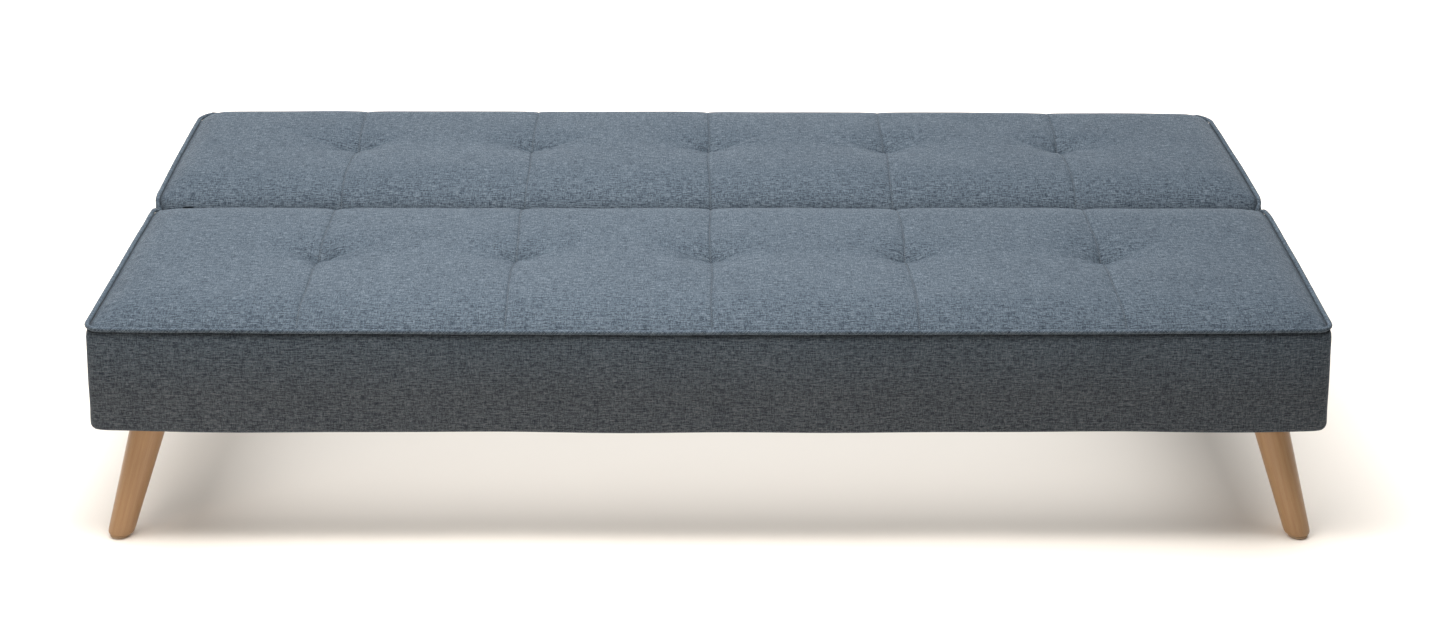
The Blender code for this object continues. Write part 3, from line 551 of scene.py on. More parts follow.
def cushion_mesh(slab):
    """A closed case with its top, four sides, a hem folded beneath and a hollow for the frame. Every point
    keeps its flat place on the cloth: x, y and how far up the side it is."""
    xs = [s * (HALF - d) for s in (-1, 1) for d in NEAR_EDGE]
    xs += [seam + s * d for seam in SEAMS for s in (-1, 1) for d in NEAR_SEAM]
    ys = [slab.front + d for d in NEAR_EDGE] + [slab.rear - d for d in NEAR_EDGE]
    ys += [slab.tuft_y + s * d for s in (-1, 1) for d in NEAR_TUFT]
    X, Y = stops(xs, STEP_X), stops(ys, STEP_Y)
    lower, upper = [0.0, 0.02, 0.05, 0.09, 0.14, 0.21], [0.92, 0.97, 1.0]
    T = np.array(lower + [round(0.29 + 0.08 * n, 2) for n in range(8)] + upper)
    nx, ny, nz = len(X) - 1, len(Y) - 1, len(T) - 1
    index, keys = {}, []
    for i in range(nx + 1):
        for j in range(ny + 1):
            on_side = i in (0, nx) or j in (0, ny)
            for k in range(nz + 1) if on_side else (0, nz):
                index[i, j, k] = len(keys)
                keys.append((i, j, k))
    i, j, k = np.array(keys).T
    x, y, t = X[i], Y[j], T[k]
    side = (i == 0) | (i == nx) | (j == 0) | (j == ny)
    on_top, low = k == nz, (k == 0) & ~side
    px, py, out_x, out_y = plan(x, y, slab)
    edge_top = slab.top(x, y) - tufting(x, y, slab)
    z = np.where(on_top, edge_top, BOTTOM + HEM_Z + (edge_top - BOTTOM - HEM_Z) * t)
    hang = HANG * ease((slab.joint_distance(y) - 0.03) / 0.06) * (0.8 + 0.2 * np.sin(x * 13.0 + y * 5.0))
    z = z - np.where(on_top, 0.0, hang * np.clip(1.0 - t / 0.25, 0.0, 1.0) ** 2) + t * stray(x, y, slab)[2]
    out = side_offset(x, y, t, slab)
    px = px + np.where(side, out_x * out, 0.0)
    py = py + np.where(side, out_y * out, 0.0)
    ring = np.minimum(np.minimum(i, nx - i), np.minimum(j, ny - j))
    last = len(RINGS) - 1
    mid, half_y = (slab.front + slab.rear) / 2, (slab.rear - slab.front) / 2
    for r in range(1, last + 1):
        picked = low & (np.minimum(ring, last) == r)
        sx = (HALF - RINGS[r]) / abs(X[r])
        sy = (half_y - RINGS[r]) / (Y[ny - r] - Y[r]) * 2
        px = np.where(picked, x * sx, px)
        py = np.where(picked, mid + (y - (Y[ny - r] + Y[r]) / 2) * sy, py)
        z = np.where(picked, BOTTOM + RING_Z[r], z)
    V, drop = cloth_run(X, Y, slab), (T - 1.0) * SIDE_CLOTH
    faces, uvs = [], []

    def panel(place, *corners):
        faces.append([index[c] for c in corners])
        uvs.extend(place(*c) for c in corners)

    over = lambda a, b, c: (X[a], V[a, b])
    beneath = lambda a, b, c: (X[a], Y[b] + 3)
    front = lambda a, b, c: (X[a], slab.front + drop[c])
    rear = lambda a, b, c: (X[a], slab.rear - drop[c])
    left = lambda a, b, c: (-Y[b], 5 + drop[c])
    right = lambda a, b, c: (Y[b], 7 + drop[c])
    for a in range(nx):
        for b in range(ny):
            panel(over, (a, b, nz), (a + 1, b, nz), (a + 1, b + 1, nz), (a, b + 1, nz))
            panel(beneath, (a, b, 0), (a, b + 1, 0), (a + 1, b + 1, 0), (a + 1, b, 0))
    for c in range(nz):
        for a in range(nx):
            panel(front, (a, 0, c), (a + 1, 0, c), (a + 1, 0, c + 1), (a, 0, c + 1))
            panel(rear, (a, ny, c), (a, ny, c + 1), (a + 1, ny, c + 1), (a + 1, ny, c))
        for b in range(ny):
            panel(left, (0, b, c), (0, b, c + 1), (0, b + 1, c + 1), (0, b + 1, c))
            panel(right, (nx, b, c), (nx, b + 1, c), (nx, b + 1, c + 1), (nx, b, c + 1))
    piece = new_piece(slab.name + "_cushion", np.stack([px, py, z], 1), faces, FINISH["upholstery"], uvs)
    mesh = piece.data
    add_attribute(mesh, "flat", "FLOAT_VECTOR", np.stack([x, y, t], 1))
    add_attribute(mesh, "hollow", "FLOAT", low & (ring > last))
    piped = piped_edge(x, y, t, slab)
    a, b = edge_ends(mesh)
    add_attribute(mesh, "crease_edge", "FLOAT", piped[a] & piped[b], "EDGE")
    held = held_weights(x, y, t, on_top, low, slab)
    group = piece.vertex_groups.new(name="held")
    for v in np.nonzero(held > 0)[0]:
        group.add([int(v)], float(held[v]), "REPLACE")
    return piece


def plan(x, y, slab):
    """Rounds the case's corners as seen from above. Gives the new x and y, and the outward direction."""
    px, py = x.copy(), y.copy()
    nx = np.where(HALF - np.abs(x) < TOUCH, np.sign(x), 0.0)
    ny = np.where(y - slab.front < TOUCH, -1.0, np.where(slab.rear - y < TOUCH, 1.0, 0.0))
    for end in (-1, 1):
        radius = slab.corner[end]
        edge = slab.front if end < 0 else slab.rear
        a = np.abs(x) - (HALF - radius)
        b = end * (y - edge) + radius
        inside = (a > 0) & (b > 0)
        length = np.sqrt(a * a + b * b) + 1e-12
        reach = np.maximum(a, b) / length
        px = np.where(inside, np.sign(x) * (HALF - radius + a * reach), px)
        py = np.where(inside, edge + end * (b * reach - radius), py)
        nx = np.where(inside, np.sign(x) * a / length, nx)
        ny = np.where(inside, end * b / length, ny)
    size = np.sqrt(nx * nx + ny * ny) + 1e-12
    dx, dy, _ = stray(px, py, slab)
    return px + dx, py + dy, nx / size, ny / size


def side_offset(x, y, t, slab):
    """How far a side panel stands out from the seam: flush with the piping and fuller below, with a
    rounded lower edge."""
    _, _, nx, ny = plan(x, y, slab)
    end = nx * nx
    at_joint = (slab.joint_distance(y) < TOUCH) & (end < 0.999)
    uneven = 1.0 + 0.14 * np.sin(x * 9.0 + 1.1) + 0.10 * np.sin(x * 21.0 + y * 17.0)
    on_front = 0.0046 + 0.0060 * (1.0 - t)
    on_end = 0.0082 + 0.0066 * (1.0 - t)
    at_corner = 1.0 + 0.9 * (nx * ny) ** 2
    full = ((1.0 - end) * on_front + end * on_end) * uneven * at_corner
    tuck = ease((1.0 - t) / 0.075)
    bulge = 0.0018 * (1.0 - tuck) + full * tuck
    bulge = np.where(at_joint, 0.0036 * np.sin(np.pi * np.clip(t, 0, 1)), bulge)
    up = np.clip(t * (SEAM_Z - BOTTOM), 0.0, LOWER_EDGE)
    return bulge - LOWER_EDGE + np.sqrt(np.clip(LOWER_EDGE ** 2 - (LOWER_EDGE - up) ** 2, 0.0, None))


def piped_edge(x, y, t, slab):
    piped_far = (slab.far_distance(y) < TOUCH) & (slab.is_seat | (np.abs(x) > PIPED_REAR[0]))
    return (t > 0.999) & ((HALF - np.abs(x) < TOUCH) | piped_far)


def held_weights(x, y, t, is_top, is_low, slab):
    """Where the cloth is held: beneath, along its piped edges and at the tufts."""
    held = np.zeros_like(x)
    held[is_low | (t < 0.03)] = 1.0
    held[piped_edge(x, y, t, slab)] = 1.0
    for seam in SEAMS:
        r = np.hypot((x - seam) / 0.012, (y - slab.tuft_y) / 0.006)
        held[is_top & (r < 1.0)] = 1.0
    return held


def evened(mesh, field, fixed, rounds):
    """A field over a mesh, evened out between neighbouring points and left alone where it is fixed."""
    a, b = edge_ends(mesh)
    ends, others = np.concatenate((a, b)), np.concatenate((b, a))
    count = np.bincount(ends, minlength=len(field))
    for _ in range(rounds):
        total = np.stack([np.bincount(ends, field[others, i], len(field)) for i in range(3)], 1)
        field = np.where(fixed, field, total / count[:, None])
    return field


def simulate(piece):
    """Presses the case out with cloth simulation. The capped and evened movement is what stays."""
    rest = coords(piece.data)
    cloth = piece.modifiers.new("Cloth", "CLOTH")
    s = cloth.settings
    s.quality, s.mass = 4, 0.4
    s.tension_stiffness, s.compression_stiffness = 40, 25
    s.shear_stiffness, s.bending_stiffness = 12, 2.0
    s.tension_damping = s.compression_damping = 12
    s.air_damping = 3
    s.use_pressure, s.uniform_pressure_force = True, 4.0
    s.vertex_group_mass = "held"
    s.effector_weights.gravity = 0.0
    cloth.collision_settings.use_collision = cloth.collision_settings.use_self_collision = False
    scene = bpy.context.scene
    scene.frame_start, scene.frame_end = 1, 20
    for number in range(1, 21):
        scene.frame_set(number)
    graph = bpy.context.evaluated_depsgraph_get()
    shaped = coords(piece.evaluated_get(graph).data)
    piece.modifiers.remove(cloth)
    scene.frame_set(1)
    moved = shaped - rest
    length = np.linalg.norm(moved, axis=1, keepdims=True)
    moved *= PRESS_CAP * np.tanh(length / PRESS_CAP) / np.maximum(length, 1e-9)
    set_coords(piece.data, rest + evened(piece.data, moved, length < 1e-5, 40))


def press_out(piece, slab):
    """Raises the top between its edges and tufts. The simulation starts from there."""
    co = coords(piece.data)
    x, y, t = read_flat(piece.data).T
    top = (t > 0.999) & (co[:, 2] > CAVITY_Z + 0.01)
    to_end = np.minimum(y - slab.front, slab.rear - y)
    raised = np.minimum(rise(HALF - np.abs(x), 0.10), rise(to_end, 0.10))
    for seam in SEAMS:
        raised *= 1.0 - bell(x - seam, 0.06) * bell(y - slab.tuft_y, 0.05)
    co[:, 2] += np.where(top, PUFF * raised, 0.0)
    set_coords(piece.data, co)


def uneven_field(places, fractal=None):
    """Noise at each place, or fractal noise of the given lacunarity."""
    if fractal:
        return np.array([noise.fractal(Vector(p), 1.0, fractal, 2) for p in places])
    return np.array([noise.noise(Vector(p)) for p in places])


def detail(piece, slab):
    """Sewn seams, the fold at each tuft, puckers along the piping and the slight unevenness of padding, with
    painted shade in the seams, the tuft folds and the groove beside the piping, and a painted shadow beneath
    the piping.
    """
    mesh = piece.data
    co = coords(mesh)
    x, y, t = read_flat(mesh).T
    on_cloth = ((t > 0.985) & (co[:, 2] > CAVITY_Z + 0.012)).astype(float)
    crease, sunk = np.zeros_like(x), np.zeros_like(x)
    seed = 3.7 if slab.is_seat else 8.2
    to_side, to_far = HALF - np.abs(x), slab.far_distance(y)
    seam_run = ease((to_far + 0.004) / 0.018) if slab.is_seat else 0.3 + 0.7 * ease(to_far / 0.09)
    for n, seam in enumerate(SEAMS):
        dx, dy = x - seam, y - slab.tuft_y
        cut = bell(dx, 0.0014)
        sunk += (0.0020 * cut + 0.0011 * bell(dx, 0.007)) * seam_run
        # painted shade along the seam line
        crease = np.maximum(crease, 0.44 * cut * seam_run)
        wander = 0.0016 * np.sin(y * 23.0 + n * 2.3 + seed)
        co[:, 0] += on_cloth * wander * bell(dx, 0.03) * ease(to_far / 0.08)
        lean = 1.0 + 0.35 * math.sin(n * 1.9 + seed)
        arm = np.where(dx < 0, 0.034 * lean, 0.034 * (2.0 - lean))
        off = dy - (4.0 * dx * dx + 0.04 * dx * math.sin(n * 2.7 + seed))
        width = np.where(off < 0, 0.0075, 0.013)
        sunk += 0.0068 * np.exp(-np.abs(dx) / arm) * np.exp(-np.abs(off) / width)
        sunk -= 0.0022 * np.exp(-np.abs(dx) / (arm * 1.1)) * bell(off + 0.016, 0.010)
        # painted shade in the fold of each tuft
        crease = np.maximum(crease, 0.75 * np.exp(-np.abs(dx) / (0.5 * arm)) * bell(off, 0.0035))
        ray, reach = np.arctan2(dy, dx), np.hypot(dx, dy)
        sunk += 0.0010 * np.sin(ray * 7 + n) * bell(reach - 0.035, 0.022)
    sunk *= on_cloth
    piped_far = to_far if slab.is_seat else np.where(np.abs(x) > 0.84, to_far, 1.0)
    to_piping = np.minimum(to_side, piped_far)
    by_side = to_side < to_far
    pucker = uneven_field((a * 46.0, seed, b) for a, b in zip(np.where(by_side, y, x), x * 0.7))
    sunk += on_cloth * 0.0011 * pucker * bell(to_piping - 0.012, 0.016)
    beside = np.where(by_side, 1.0, 0.45)
    sunk += on_cloth * 0.0034 * beside * np.exp(-to_piping / 0.004)
    # painted shade in the groove beside the piping
    piping_groove_shade = (0.85 - 0.45 * ease((y - 0.40) / 0.05)) * beside * bell(to_piping, 0.0042)
    crease = np.maximum(crease, on_cloth * piping_groove_shade)
    lumps = uneven_field(((a * 6.5, b * 8.0, seed) for a, b in zip(x, y)), 2.1)
    sunk += on_cloth * 0.0016 * lumps * ease(to_side / 0.08) * ease(to_far / 0.08)
    co[:, 2] -= sunk
    side = (t > 0.02) & (t < 0.985)
    ripple = uneven_field(((a * 5.0 + b * 4.0, c * 1.3, seed) for a, b, c in zip(x, y, t)), 2.0)
    tug = uneven_field((a * 19.0 + b * 16.0, 0.3, seed) for a, b in zip(x, y))
    push = side * (0.0016 * ripple * np.sin(np.pi * t) + 0.0011 * tug * bell(t - 0.06, 0.10))
    _, _, nx, ny = plan(x, y, slab)
    at_joint = (slab.joint_distance(y) < TOUCH) & (to_side > TOUCH)
    push = np.where(at_joint, np.minimum(push, 0.0), push)
    edge = (to_side < 1e-5) | (y - slab.front < 1e-5) | (slab.rear - y < 1e-5)
    co[:, 0] += np.where(edge, nx * push, 0.0)
    co[:, 1] += np.where(edge, ny * push, 0.0)
    below = (1.0 - t) * SIDE_CLOTH
    # painted shadow in a thin line just beneath the piping
    piping_shadow = np.where(edge & ~at_joint & (t < 0.999), bell(below - 0.0050, 0.0036), 0.0)
    set_coords(mesh, co)
    add_attribute(mesh, "crease", "FLOAT", np.clip(np.maximum(crease, piping_shadow), 0, 1))


def close_hollow(bm):
    """Swaps the many small faces of the hollow's flat ceiling for one."""
    layer = bm.verts.layers.float["hollow"]
    ceiling = [f for f in bm.faces if all(v[layer] > 0.999 for v in f.verts)]
    bmesh.ops.delete(bm, geom=ceiling, context="FACES")
    rim = [e for e in bm.edges if e.is_boundary]
    bmesh.ops.contextual_create(bm, geom=rim)


def rounded_box(low, high, radius):
    """A box whose four edges along X are rounded."""
    (x0, y0, z0), (x1, y1, z1), steps = low, high, 4
    rear, front, roof, floor = y1 - radius, y0 + radius, z1 - radius, z0 + radius
    loop = []
    for cy, cz, start in ((rear, roof, 0), (front, roof, 90), (front, floor, 180), (rear, floor, 270)):
        for i in range(steps + 1):
            a = math.radians(start + 90 * i / steps)
            loop.append((cy + radius * math.cos(a), cz + radius * math.sin(a)))
    points = [(x, y, z) for x in (x0, x1) for y, z in loop]
    return points, tube_faces(0, 2, len(loop))


def cut_pockets(piece, slab):
    """The slots at the joint that the hinges swing in."""
    outer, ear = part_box("seat_hinge_plate_right")[1].x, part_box("seat_hinge_plate_right")[1].z
    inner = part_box("back_hinge_plate_right")[0].x
    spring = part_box("pawl_spring_right")[0].x
    wide = (spring - 0.0012, outer + 0.0032, 0.2716, ear - 0.0024, 0.005, 0.080)
    narrow = (inner - 0.0014, outer + 0.0014, ear - 0.012, ear + 0.0018, 0.0015, 0.0128)
    for side in (-1, 1):
        for near, far, floor, roof, round_off, deep in (wide, narrow):
            x0, x1 = sorted((side * near, side * far))
            y0, y1 = (-deep, 0.02) if slab.is_seat else (-0.02, deep)
            low, high = (x0, AXIS.y + y0, floor), (x1, AXIS.y + y1, roof)
            points, faces = rounded_box(low, high, round_off)
            cutter = new_piece("pocket_cutter", points, faces, FINISH["upholstery"])
            face_outwards(cutter.data)
            modifier = piece.modifiers.new("pocket", "BOOLEAN")
            modifier.operation = "DIFFERENCE"
            modifier.solver = "EXACT"
            modifier.object = cutter
            apply_modifiers(piece)
            bpy.data.objects.remove(cutter)


def make_cushion(slab):
    piece = cushion_mesh(slab)
    press_out(piece, slab)
    simulate(piece)
    smooth = piece.modifiers.new("Subdivision", "SUBSURF")
    smooth.levels = smooth.render_levels = 1
    apply_modifiers(piece)
    detail(piece, slab)
    face_outwards(piece.data, close_hollow)
    cut_pockets(piece, slab)
    mesh = piece.data
    mesh.polygons.foreach_set("use_smooth", [True] * len(mesh.polygons))
    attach(piece, slab.name)
    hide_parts(slab.name + "_cover", slab.name + "_foam")
    return piece


def sweep(path, radius, sides, wobble, seed):
    """A round tube along a path: its points, faces and cloth coordinates."""
    points, uvs = [], []
    travel = [0.0]
    for a, b in zip(path, path[1:]):
        travel.append(travel[-1] + (b - a).length)
    normal = None
    for n, p in enumerate(path):
        ahead = (path[min(n + 1, len(path) - 1)] - path[max(n - 1, 0)]).normalized()
        if normal is None:
            normal = ahead.orthogonal().normalized()
        normal = (normal - ahead * normal.dot(ahead)).normalized()
        other = ahead.cross(normal)
        for a in turns(sides):
            bumpy = noise.noise(Vector((travel[n] * 60.0, math.cos(a), seed + math.sin(a))))
            r = radius * (1.0 + wobble * bumpy)
            points.append(p + normal * (r * math.cos(a)) + other * (r * math.sin(a)))
    girth = [2 * math.pi * radius * s / sides for s in range(sides + 1)]
    for before, after in zip(travel, travel[1:]):
        for u0, u1 in zip(girth, girth[1:]):
            uvs += [(u0, before), (u1, before), (u1, after), (u0, after)]
    end = [(radius * math.cos(i), radius * math.sin(i)) for i in range(sides)]
    return points, tube_faces(0, len(path), sides), uvs + end + end


def rounded_path(corners, radii, step):
    """A path through the corners, each rounded to its radius, with points no further apart than the step."""
    corners = [Vector(c) for c in corners]
    path = [corners[0]]
    for before, corner, after, radius in zip(corners, corners[1:], corners[2:], radii):
        back, ahead = (before - corner).normalized(), (after - corner).normalized()
        start = corner + back * radius
        centre = start + ahead * radius
        count = max(6, math.ceil(radius * math.pi / 2 / step))
        for i in range(count + 1):
            a = math.pi / 2 * i / count
            path.append(centre - ahead * (radius * math.cos(a)) - back * (radius * math.sin(a)))
    path.append(corners[-1])
    fine = [path[0]]
    for a, b in zip(path, path[1:]):
        count = max(1, math.ceil((b - a).length / step))
        fine += [a.lerp(b, i / count) for i in range(1, count + 1)]
    return fine


def piping_piece(name, path, slab, nodes, seed):
    """A piping cord that strays with its slab's outline and turns in at the joint."""
    shaken = []
    for p in path:
        n = noise.noise_vector(p * 9.0 + Vector((seed, 0, 0)))
        dx, dy, dz = (float(c) for c in stray(np.float64(p.x), np.float64(p.y), slab))
        near = JOINT_CORNER - slab.joint_distance(p.y)
        turn = JOINT_CORNER - math.sqrt(JOINT_CORNER ** 2 - near ** 2) if 0 < near < JOINT_CORNER else 0.0
        shift = Vector((dx - math.copysign(turn, p.x), dy, dz))
        shaken.append(p + shift + Vector((n.x * 0.0003, n.y * 0.0003, n.z * 0.0009)))
    points, faces, uvs = sweep(shaken, PIPING, 14, 0.05, seed)
    piece = new_piece(name, points, faces, FINISH["piping"], uvs)
    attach(piece, slab.name)
    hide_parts(*nodes)


def make_piping():
    lo, hi = PIPING_LOW, PIPING_HIGH
    x, front, end, foot = hi.x - PIPING, lo.y + PIPING, hi.y - PIPING, lo.z
    half_way = [(x, front, SEAM_Z), (x, end, SEAM_Z), (x, end, foot)]
    corners = [(-a, b, c) for a, b, c in half_way[::-1]] + half_way
    bend = FRONT_CORNER + PIPING
    path = rounded_path(corners, (JOINT_BEND, bend, bend, JOINT_BEND), 0.005)
    piping_piece("seat_piping_cord", path, SEAT, ["seat_piping"], 1.0)
    for side, sign in (("left", -1), ("right", 1)):
        lo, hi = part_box("back_piping_" + side)
        rear, start, out = hi.y - PIPING, lo.y + PIPING, sign * x
        inner = sign * (min(abs(lo.x), abs(hi.x)) + PIPING)
        corners = [(out, start, foot), (out, start, SEAM_Z), (out, rear, SEAM_Z), (inner, rear, SEAM_Z)]
        path = rounded_path(corners, (JOINT_BEND, REAR_CORNER + PIPING), 0.004)
        at = np.array([tuple(p) for p in path])
        dive = (at[:, 1] > rear - 0.06) & (np.abs(at[:, 0]) < PIPED_REAR[1])
        padding = BACK.top(at[dive, 0], np.full(dive.sum(), BACK.rear))
        at[dive, 2] = padding + 0.001 - 0.0022 * ease((rear - at[dive, 1] - 0.045) / -0.045)
        path = [Vector(p) for p in at]
        while path[-1].z > foot:
            path.append(path[-1] + Vector((-sign * 0.0006, 0.0, -0.004)))
        piping_piece(f"back_piping_cord_{side}", path, BACK, ["back_piping_" + side], 5.0 + sign)


def make_leg(name):
    """A turned, tapered and splayed leg with a softly rounded foot. It keeps its own straight grain."""
    lo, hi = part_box(name)
    top_r, foot_r, edge = 0.0275, 0.0195, 0.0055
    sx = 1 if lo.x > 0 else -1
    sy = 1 if "rear" in name else -1
    top = Vector((sx * (min(abs(lo.x), abs(hi.x)) + top_r), 0, hi.z))
    foot = Vector((sx * (max(abs(lo.x), abs(hi.x)) - foot_r), 0, lo.z))
    top.y, foot.y = (hi.y - top_r, lo.y + foot_r) if sy < 0 else (lo.y + top_r, hi.y - foot_r)
    height = top.z - foot.z
    bends = [math.radians(12 * i) for i in range(1, 8)]
    shaft = np.linspace(edge + 0.004, height - 0.0015, 22)
    profile = [(0.0, 0.0)]
    profile += [(foot_r - edge + edge * math.sin(a), edge - edge * math.cos(a)) for a in bends]
    profile += [(foot_r + (top_r - foot_r) * h / height, h) for h in shaft]
    profile += [(top_r - 0.0012, height), (0.0, height)]
    turned, faces = lathe(profile, 56)
    points = [foot.lerp(top, h / height) + Vector((px, py, 0)) for px, py, h in turned]
    piece = new_piece(name + "_turned", points, faces, FINISH["leg_wood"])
    grain = [(px + 0.13 * sx + 0.4, py + 0.31 * sy, h) for px, py, h in turned]
    add_attribute(piece.data, "grain", "FLOAT_VECTOR", grain)
    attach(piece, "seat")
    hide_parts(name)


def make_glide(name):
    lo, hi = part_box(name)
    centre = (lo + hi) / 2
    r = (hi.x - lo.x) / 2
    profile = [(0, 0.0006), (r * 0.55, 0.0006), (r * 0.60, 0.0), (r - 0.0016, 0.0), (r - 0.0005, 0.0005)]
    profile += [(r, 0.0016), (r, 0.0036), (r - 0.0004, 0.0040), (0, 0.0040)]
    points, faces = lathe(profile, 40)
    points = [(centre.x + px, centre.y + py, h) for px, py, h in points]
    piece = new_piece(name + "_moulded", points, faces, FINISH["glide_plastic"])
    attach(piece, "seat")
    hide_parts(name)


def staple_mesh(spots):
    """Wire staples, each lying flat against the cloth at its place and direction."""
    points, faces = [], []
    sides, leg = 6, Vector((0, 0, 0.0006))
    for place, along in spots:
        place, along = Vector(place), Vector(along).normalized()
        across = along.cross(Vector((0, 0, 1)))
        tip, bend = along * 0.0048, along * 0.0044
        path = [place - tip + leg, place - bend, place + bend, place + tip + leg]
        faces += tube_faces(len(points), len(path), sides)
        for p in path:
            for a in turns(sides):
                lift = Vector((0, 0, 0.00022 * math.sin(a)))
                points.append(p + across * (0.00045 * math.cos(a)) + lift)
    return points, faces


def sheet_faces(nx, ny):
    """Faces of a thin sheet: its upper layer and its lower one, of nx by ny points, and its rim."""
    at = lambda i, j, layer: layer * nx * ny + i * ny + j
    faces = []
    for i in range(nx - 1):
        for j in range(ny - 1):
            faces.append((at(i, j, 0), at(i + 1, j, 0), at(i + 1, j + 1, 0), at(i, j + 1, 0)))
            faces.append((at(i, j, 1), at(i, j + 1, 1), at(i + 1, j + 1, 1), at(i + 1, j, 1)))
    rim = [(i, 0) for i in range(nx - 1)] + [(nx - 1, j) for j in range(ny - 1)]
    rim += [(i, ny - 1) for i in range(nx - 1, 0, -1)] + [(0, j) for j in range(ny - 1, 0, -1)]
    for a, b in zip(rim, rim[1:] + rim[:1]):
        faces.append((at(*a, 1), at(*b, 1), at(*b, 0), at(*a, 0)))
    return faces


def make_dust_cloth(slab):
    """Thin black cloth stapled under the hem, hanging a little between the rails."""
    node = slab.name + "_dust_cover"
    lo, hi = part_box(node)
    edge, fold_in, thick, z_base = 0.013, 0.004, 0.0004, BOTTOM + 0.0001
    low, high = (lo.x + edge, lo.y + edge), (hi.x - edge, hi.y - edge)
    X, Y = (stops([a, a + fold_in, b - fold_in, b], s) for a, b, s in zip(low, high, (0.016, 0.013)))
    layer = 2.0 if slab.is_seat else 6.0
    top = []
    for x in X:
        for y in Y:
            d = min(x - low[0], high[0] - x, y - low[1], high[1] - y)
            puff = 0.00035 * noise.noise(Vector((x * 31, y * 27, layer))) * min(1, d / 0.02)
            free = float(ease((d - 0.03) / 0.05) * ease((0.735 - abs(x)) / 0.05))
            free *= float(ease((y + 0.330) / 0.05 if slab.is_seat else (0.325 - y) / 0.04))
            sag = 0.0028 * free * (0.7 + 0.5 * noise.noise(Vector((x * 5, y * 6, 1.0))))
            fold = 0.0005 * free * abs(noise.noise(Vector((x * 16 + y * 5, y * 9, 3.0))))
            top.append((x, y, z_base + thick + abs(puff) * 0.5 - sag - fold))
    points = top + [(x, y, z - thick) for x, y, z in top]
    piece = new_piece(slab.name + "_dust_cloth", points, sheet_faces(len(X), len(Y)), FINISH["dust_cloth"])
    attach(piece, slab.name)
    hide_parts(node)
    rng = random.Random(7)
    spots = []
    z, in_from, apart = z_base - 0.00015, 0.006, 0.062
    for x in np.arange(low[0] + 0.03, high[0] - 0.02, apart):
        for y in (low[1] + in_from, high[1] - in_from):
            spots.append(((x + rng.uniform(-0.006, 0.006), y, z), (1, rng.uniform(-0.2, 0.2), 0)))
    for y in np.arange(low[1] + 0.04, high[1] - 0.03, apart):
        for x in (low[0] + in_from, high[0] - in_from):
            spots.append(((x, y + rng.uniform(-0.006, 0.006), z), (rng.uniform(-0.2, 0.2), 1, 0)))
    points, faces = staple_mesh(spots)
    staples = new_piece(slab.name + "_dust_cloth_staples", points, faces, STAPLE)
    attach(staples, slab.name)


def make_stitches(piece, slab):
    """Short stitches that lie in the seams of the top."""
    co, flat = coords(piece.data), read_flat(piece.data)
    top = (flat[:, 2] > 0.999) & (co[:, 2] > CAVITY_Z + 0.012)
    points, faces = [], []
    sides, first, long, apart = 5, 0.004, 0.003, 0.0042
    for seam in SEAMS:
        on = top & (np.abs(flat[:, 0] - seam) < 2e-4)
        line = co[on][np.argsort(flat[on, 1])]
        if len(line) < 4:
            continue
        gaps = np.r_[0.0, np.cumsum(np.linalg.norm(np.diff(line, axis=0), axis=1))]
        start = first
        while start + long < gaps[-1]:
            faces += tube_faces(len(points), 3, sides)
            for d, lift in ((0.0, 0.00005), (long / 2, 0.00040), (long, 0.00005)):
                px, py, pz = (np.interp(start + d, gaps, line[:, c]) for c in range(3))
                for a in turns(sides):
                    points.append((px + 0.00034 * math.cos(a), py, pz + lift + 0.0003 * math.sin(a)))
            start += apart
    stitches = new_piece(slab.name + "_seam_stitches", points, faces, THREAD)
    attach(stitches, slab.name)


for node in NODES.values():
    for slot in node.material_slots:
        slot.material = FINISH.get(slot.material.name.split(".")[0], FINISH["upholstery"])
for slab in (SEAT, BACK):
    cushion = make_cushion(slab)
    make_stitches(cushion, slab)
    make_dust_cloth(slab)
make_piping()
for corner in ("front_left", "front_right", "rear_left", "rear_right"):
    make_leg("leg_" + corner)
    make_glide("glide_" + corner)

# ---------------- floor, light and camera


def make_floor():
    size, step = 12.0, 24
    X = np.linspace(-size, size, step + 1)
    points = [(a, b + 2.0, 0.0) for a in X for b in X]
    starts = [i * (step + 1) + j for i in range(step) for j in range(step)]
    faces = [(a, a + step + 1, a + step + 2, a + 1) for a in starts]
    m = Nodes("studio_floor", 0.85, Specular_IOR_Level=0.15)
    mottle = m.noise(m.object(), 3.0, 3.0)
    colour = m.ramp(mottle, (0.2, (0.880, 0.805, 0.725)), (0.8, (0.900, 0.825, 0.745)))
    floor = new_piece("studio_floor", points, faces, m.finish(colour))


def make_backdrop():
    """A plain white ring wall far behind everything, which gives no light."""
    radius, height, steps = 9.5, 9.0, 72
    points = [(radius * math.cos(a), radius * math.sin(a), z) for z in (-0.05, height) for a in turns(steps)]
    faces = [(s, e, steps + e, steps + s) for s, e in around(steps)]
    glow = {"Base_Color": (0.0, 0.0, 0.0), "Emission_Color": (1.0, 1.0, 1.0), "Emission_Strength": 1.0}
    white = Nodes("studio_backdrop", 1.0, Specular_IOR_Level=0.0, **glow).material
    wall = new_piece("studio_backdrop", points, faces, white)
    wall.visible_diffuse = wall.visible_glossy = wall.visible_shadow = False


def area_light(name, place, target, size, power, colour):
    light = bpy.data.lights.new(name, "AREA")
    light.shape = "RECTANGLE"
    light.size, light.size_y = size
    light.energy = power
    light.color = colour
    lamp = bpy.data.objects.new(name, light)
    lamp.location = place
    lamp.rotation_mode = "QUATERNION"
    lamp.rotation_quaternion = (Vector(target) - Vector(place)).to_track_quat("-Z", "Y")
    lamp.visible_camera = False
    bpy.context.scene.collection.objects.link(lamp)


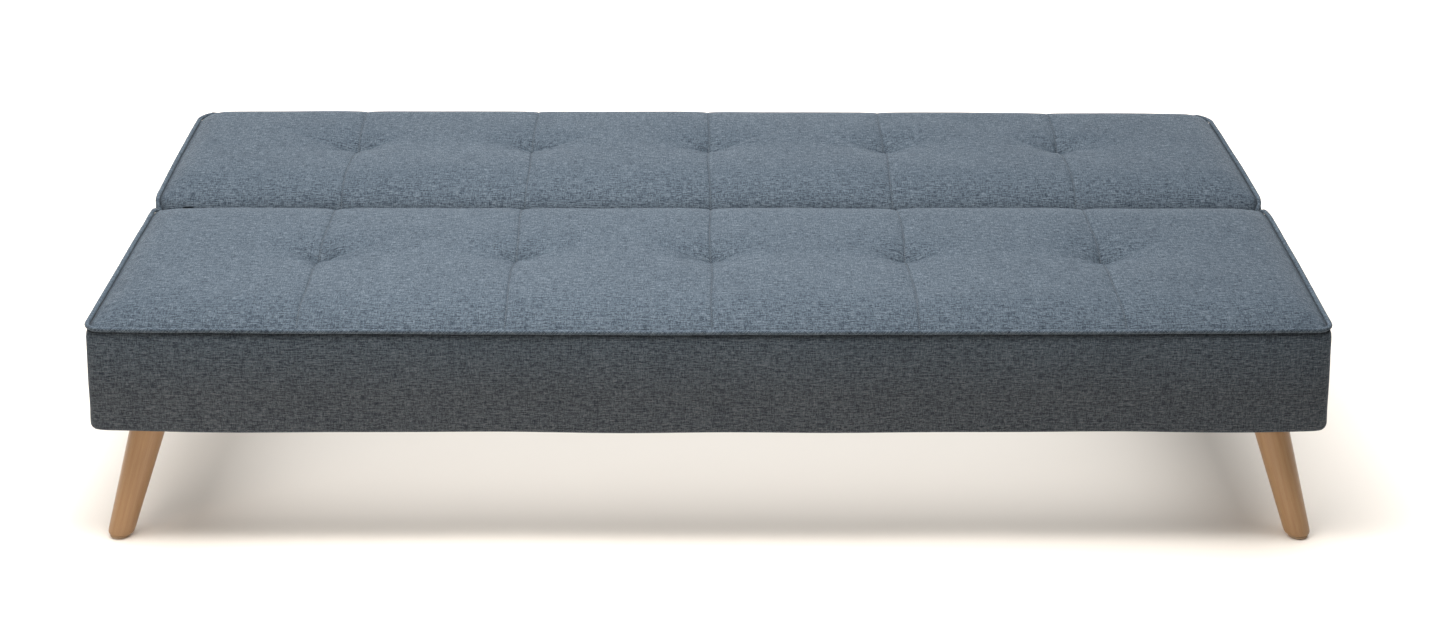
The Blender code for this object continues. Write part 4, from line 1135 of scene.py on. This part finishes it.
CAMERA_AT = Vector((-0.037, -3.934, 1.820))
PITCH, YAW, ROLL_ANGLE = (math.radians(a) for a in (23.01, 0.86, 0.42))
LENS, SENSOR = 64.78, 36.0
SKY, DAY, WARM = (0.93, 0.97, 1.0), (1.0, 0.99, 0.97), (1.0, 0.90, 0.80)


def make_camera():
    level = math.cos(PITCH)
    ahead = Vector((math.sin(YAW) * level, math.cos(YAW) * level, -math.sin(PITCH)))
    right = Vector((math.cos(YAW), -math.sin(YAW), 0.0))
    up = right.cross(ahead)
    c, s = math.cos(ROLL_ANGLE), math.sin(ROLL_ANGLE)
    right, up = right * c + up * s, up * c - right * s
    data = bpy.data.cameras.new("camera")
    data.sensor_width = SENSOR
    data.lens = LENS
    camera = bpy.data.objects.new("camera", data)
    turn = Matrix((right, up, -ahead)).transposed().to_4x4()
    camera.matrix_world = Matrix.Translation(CAMERA_AT) @ turn
    bpy.context.scene.collection.objects.link(camera)
    bpy.context.scene.camera = camera


make_floor()
make_backdrop()
area_light("overhead", (-0.4, 1.6, 5.0), (-0.4, 1.6, 0.0), (8.0, 6.0), 665.0, (0.95, 0.98, 1.0))
area_light("key", (-0.30, -0.55, 1.95), (-0.22, -0.4, 0.3), (1.0, 0.9), 39.5, DAY)
area_light("front_fill", (-2.7, -3.6, 1.7), (-0.6, -0.4, 0.2), (2.4, 1.6), 48.5, WARM)
area_light("rear_low", (0.0, 3.4, 0.42), (0.0, 0.0, 0.05), (6.0, 0.7), 130.0, DAY)
for number, (ax, ay) in enumerate(((0, 1), (1, 0), (0, -1), (-1, 0))):
    place, target = (6.2 * ax, 6.2 * ay, 4.0), (11.0 * ax, 11.0 * ay, 0.0)
    area_light(f"far_{number}", place, target, (10.0, 3.0), 420.0, SKY)
area_light("beneath", (0.0, 0.0, 0.15), (0.0, 0.0, 0.0), (1.5, 0.86), 3.8, SKY)
world = bpy.data.worlds.new("studio")
world.use_nodes = True
background = world.node_tree.nodes["Background"].inputs
background["Color"].default_value = (0.95, 0.97, 1.0, 1.0)
background["Strength"].default_value = 0.12
bpy.context.scene.world = world
bpy.context.scene.view_settings.view_transform = "Standard"
make_camera()
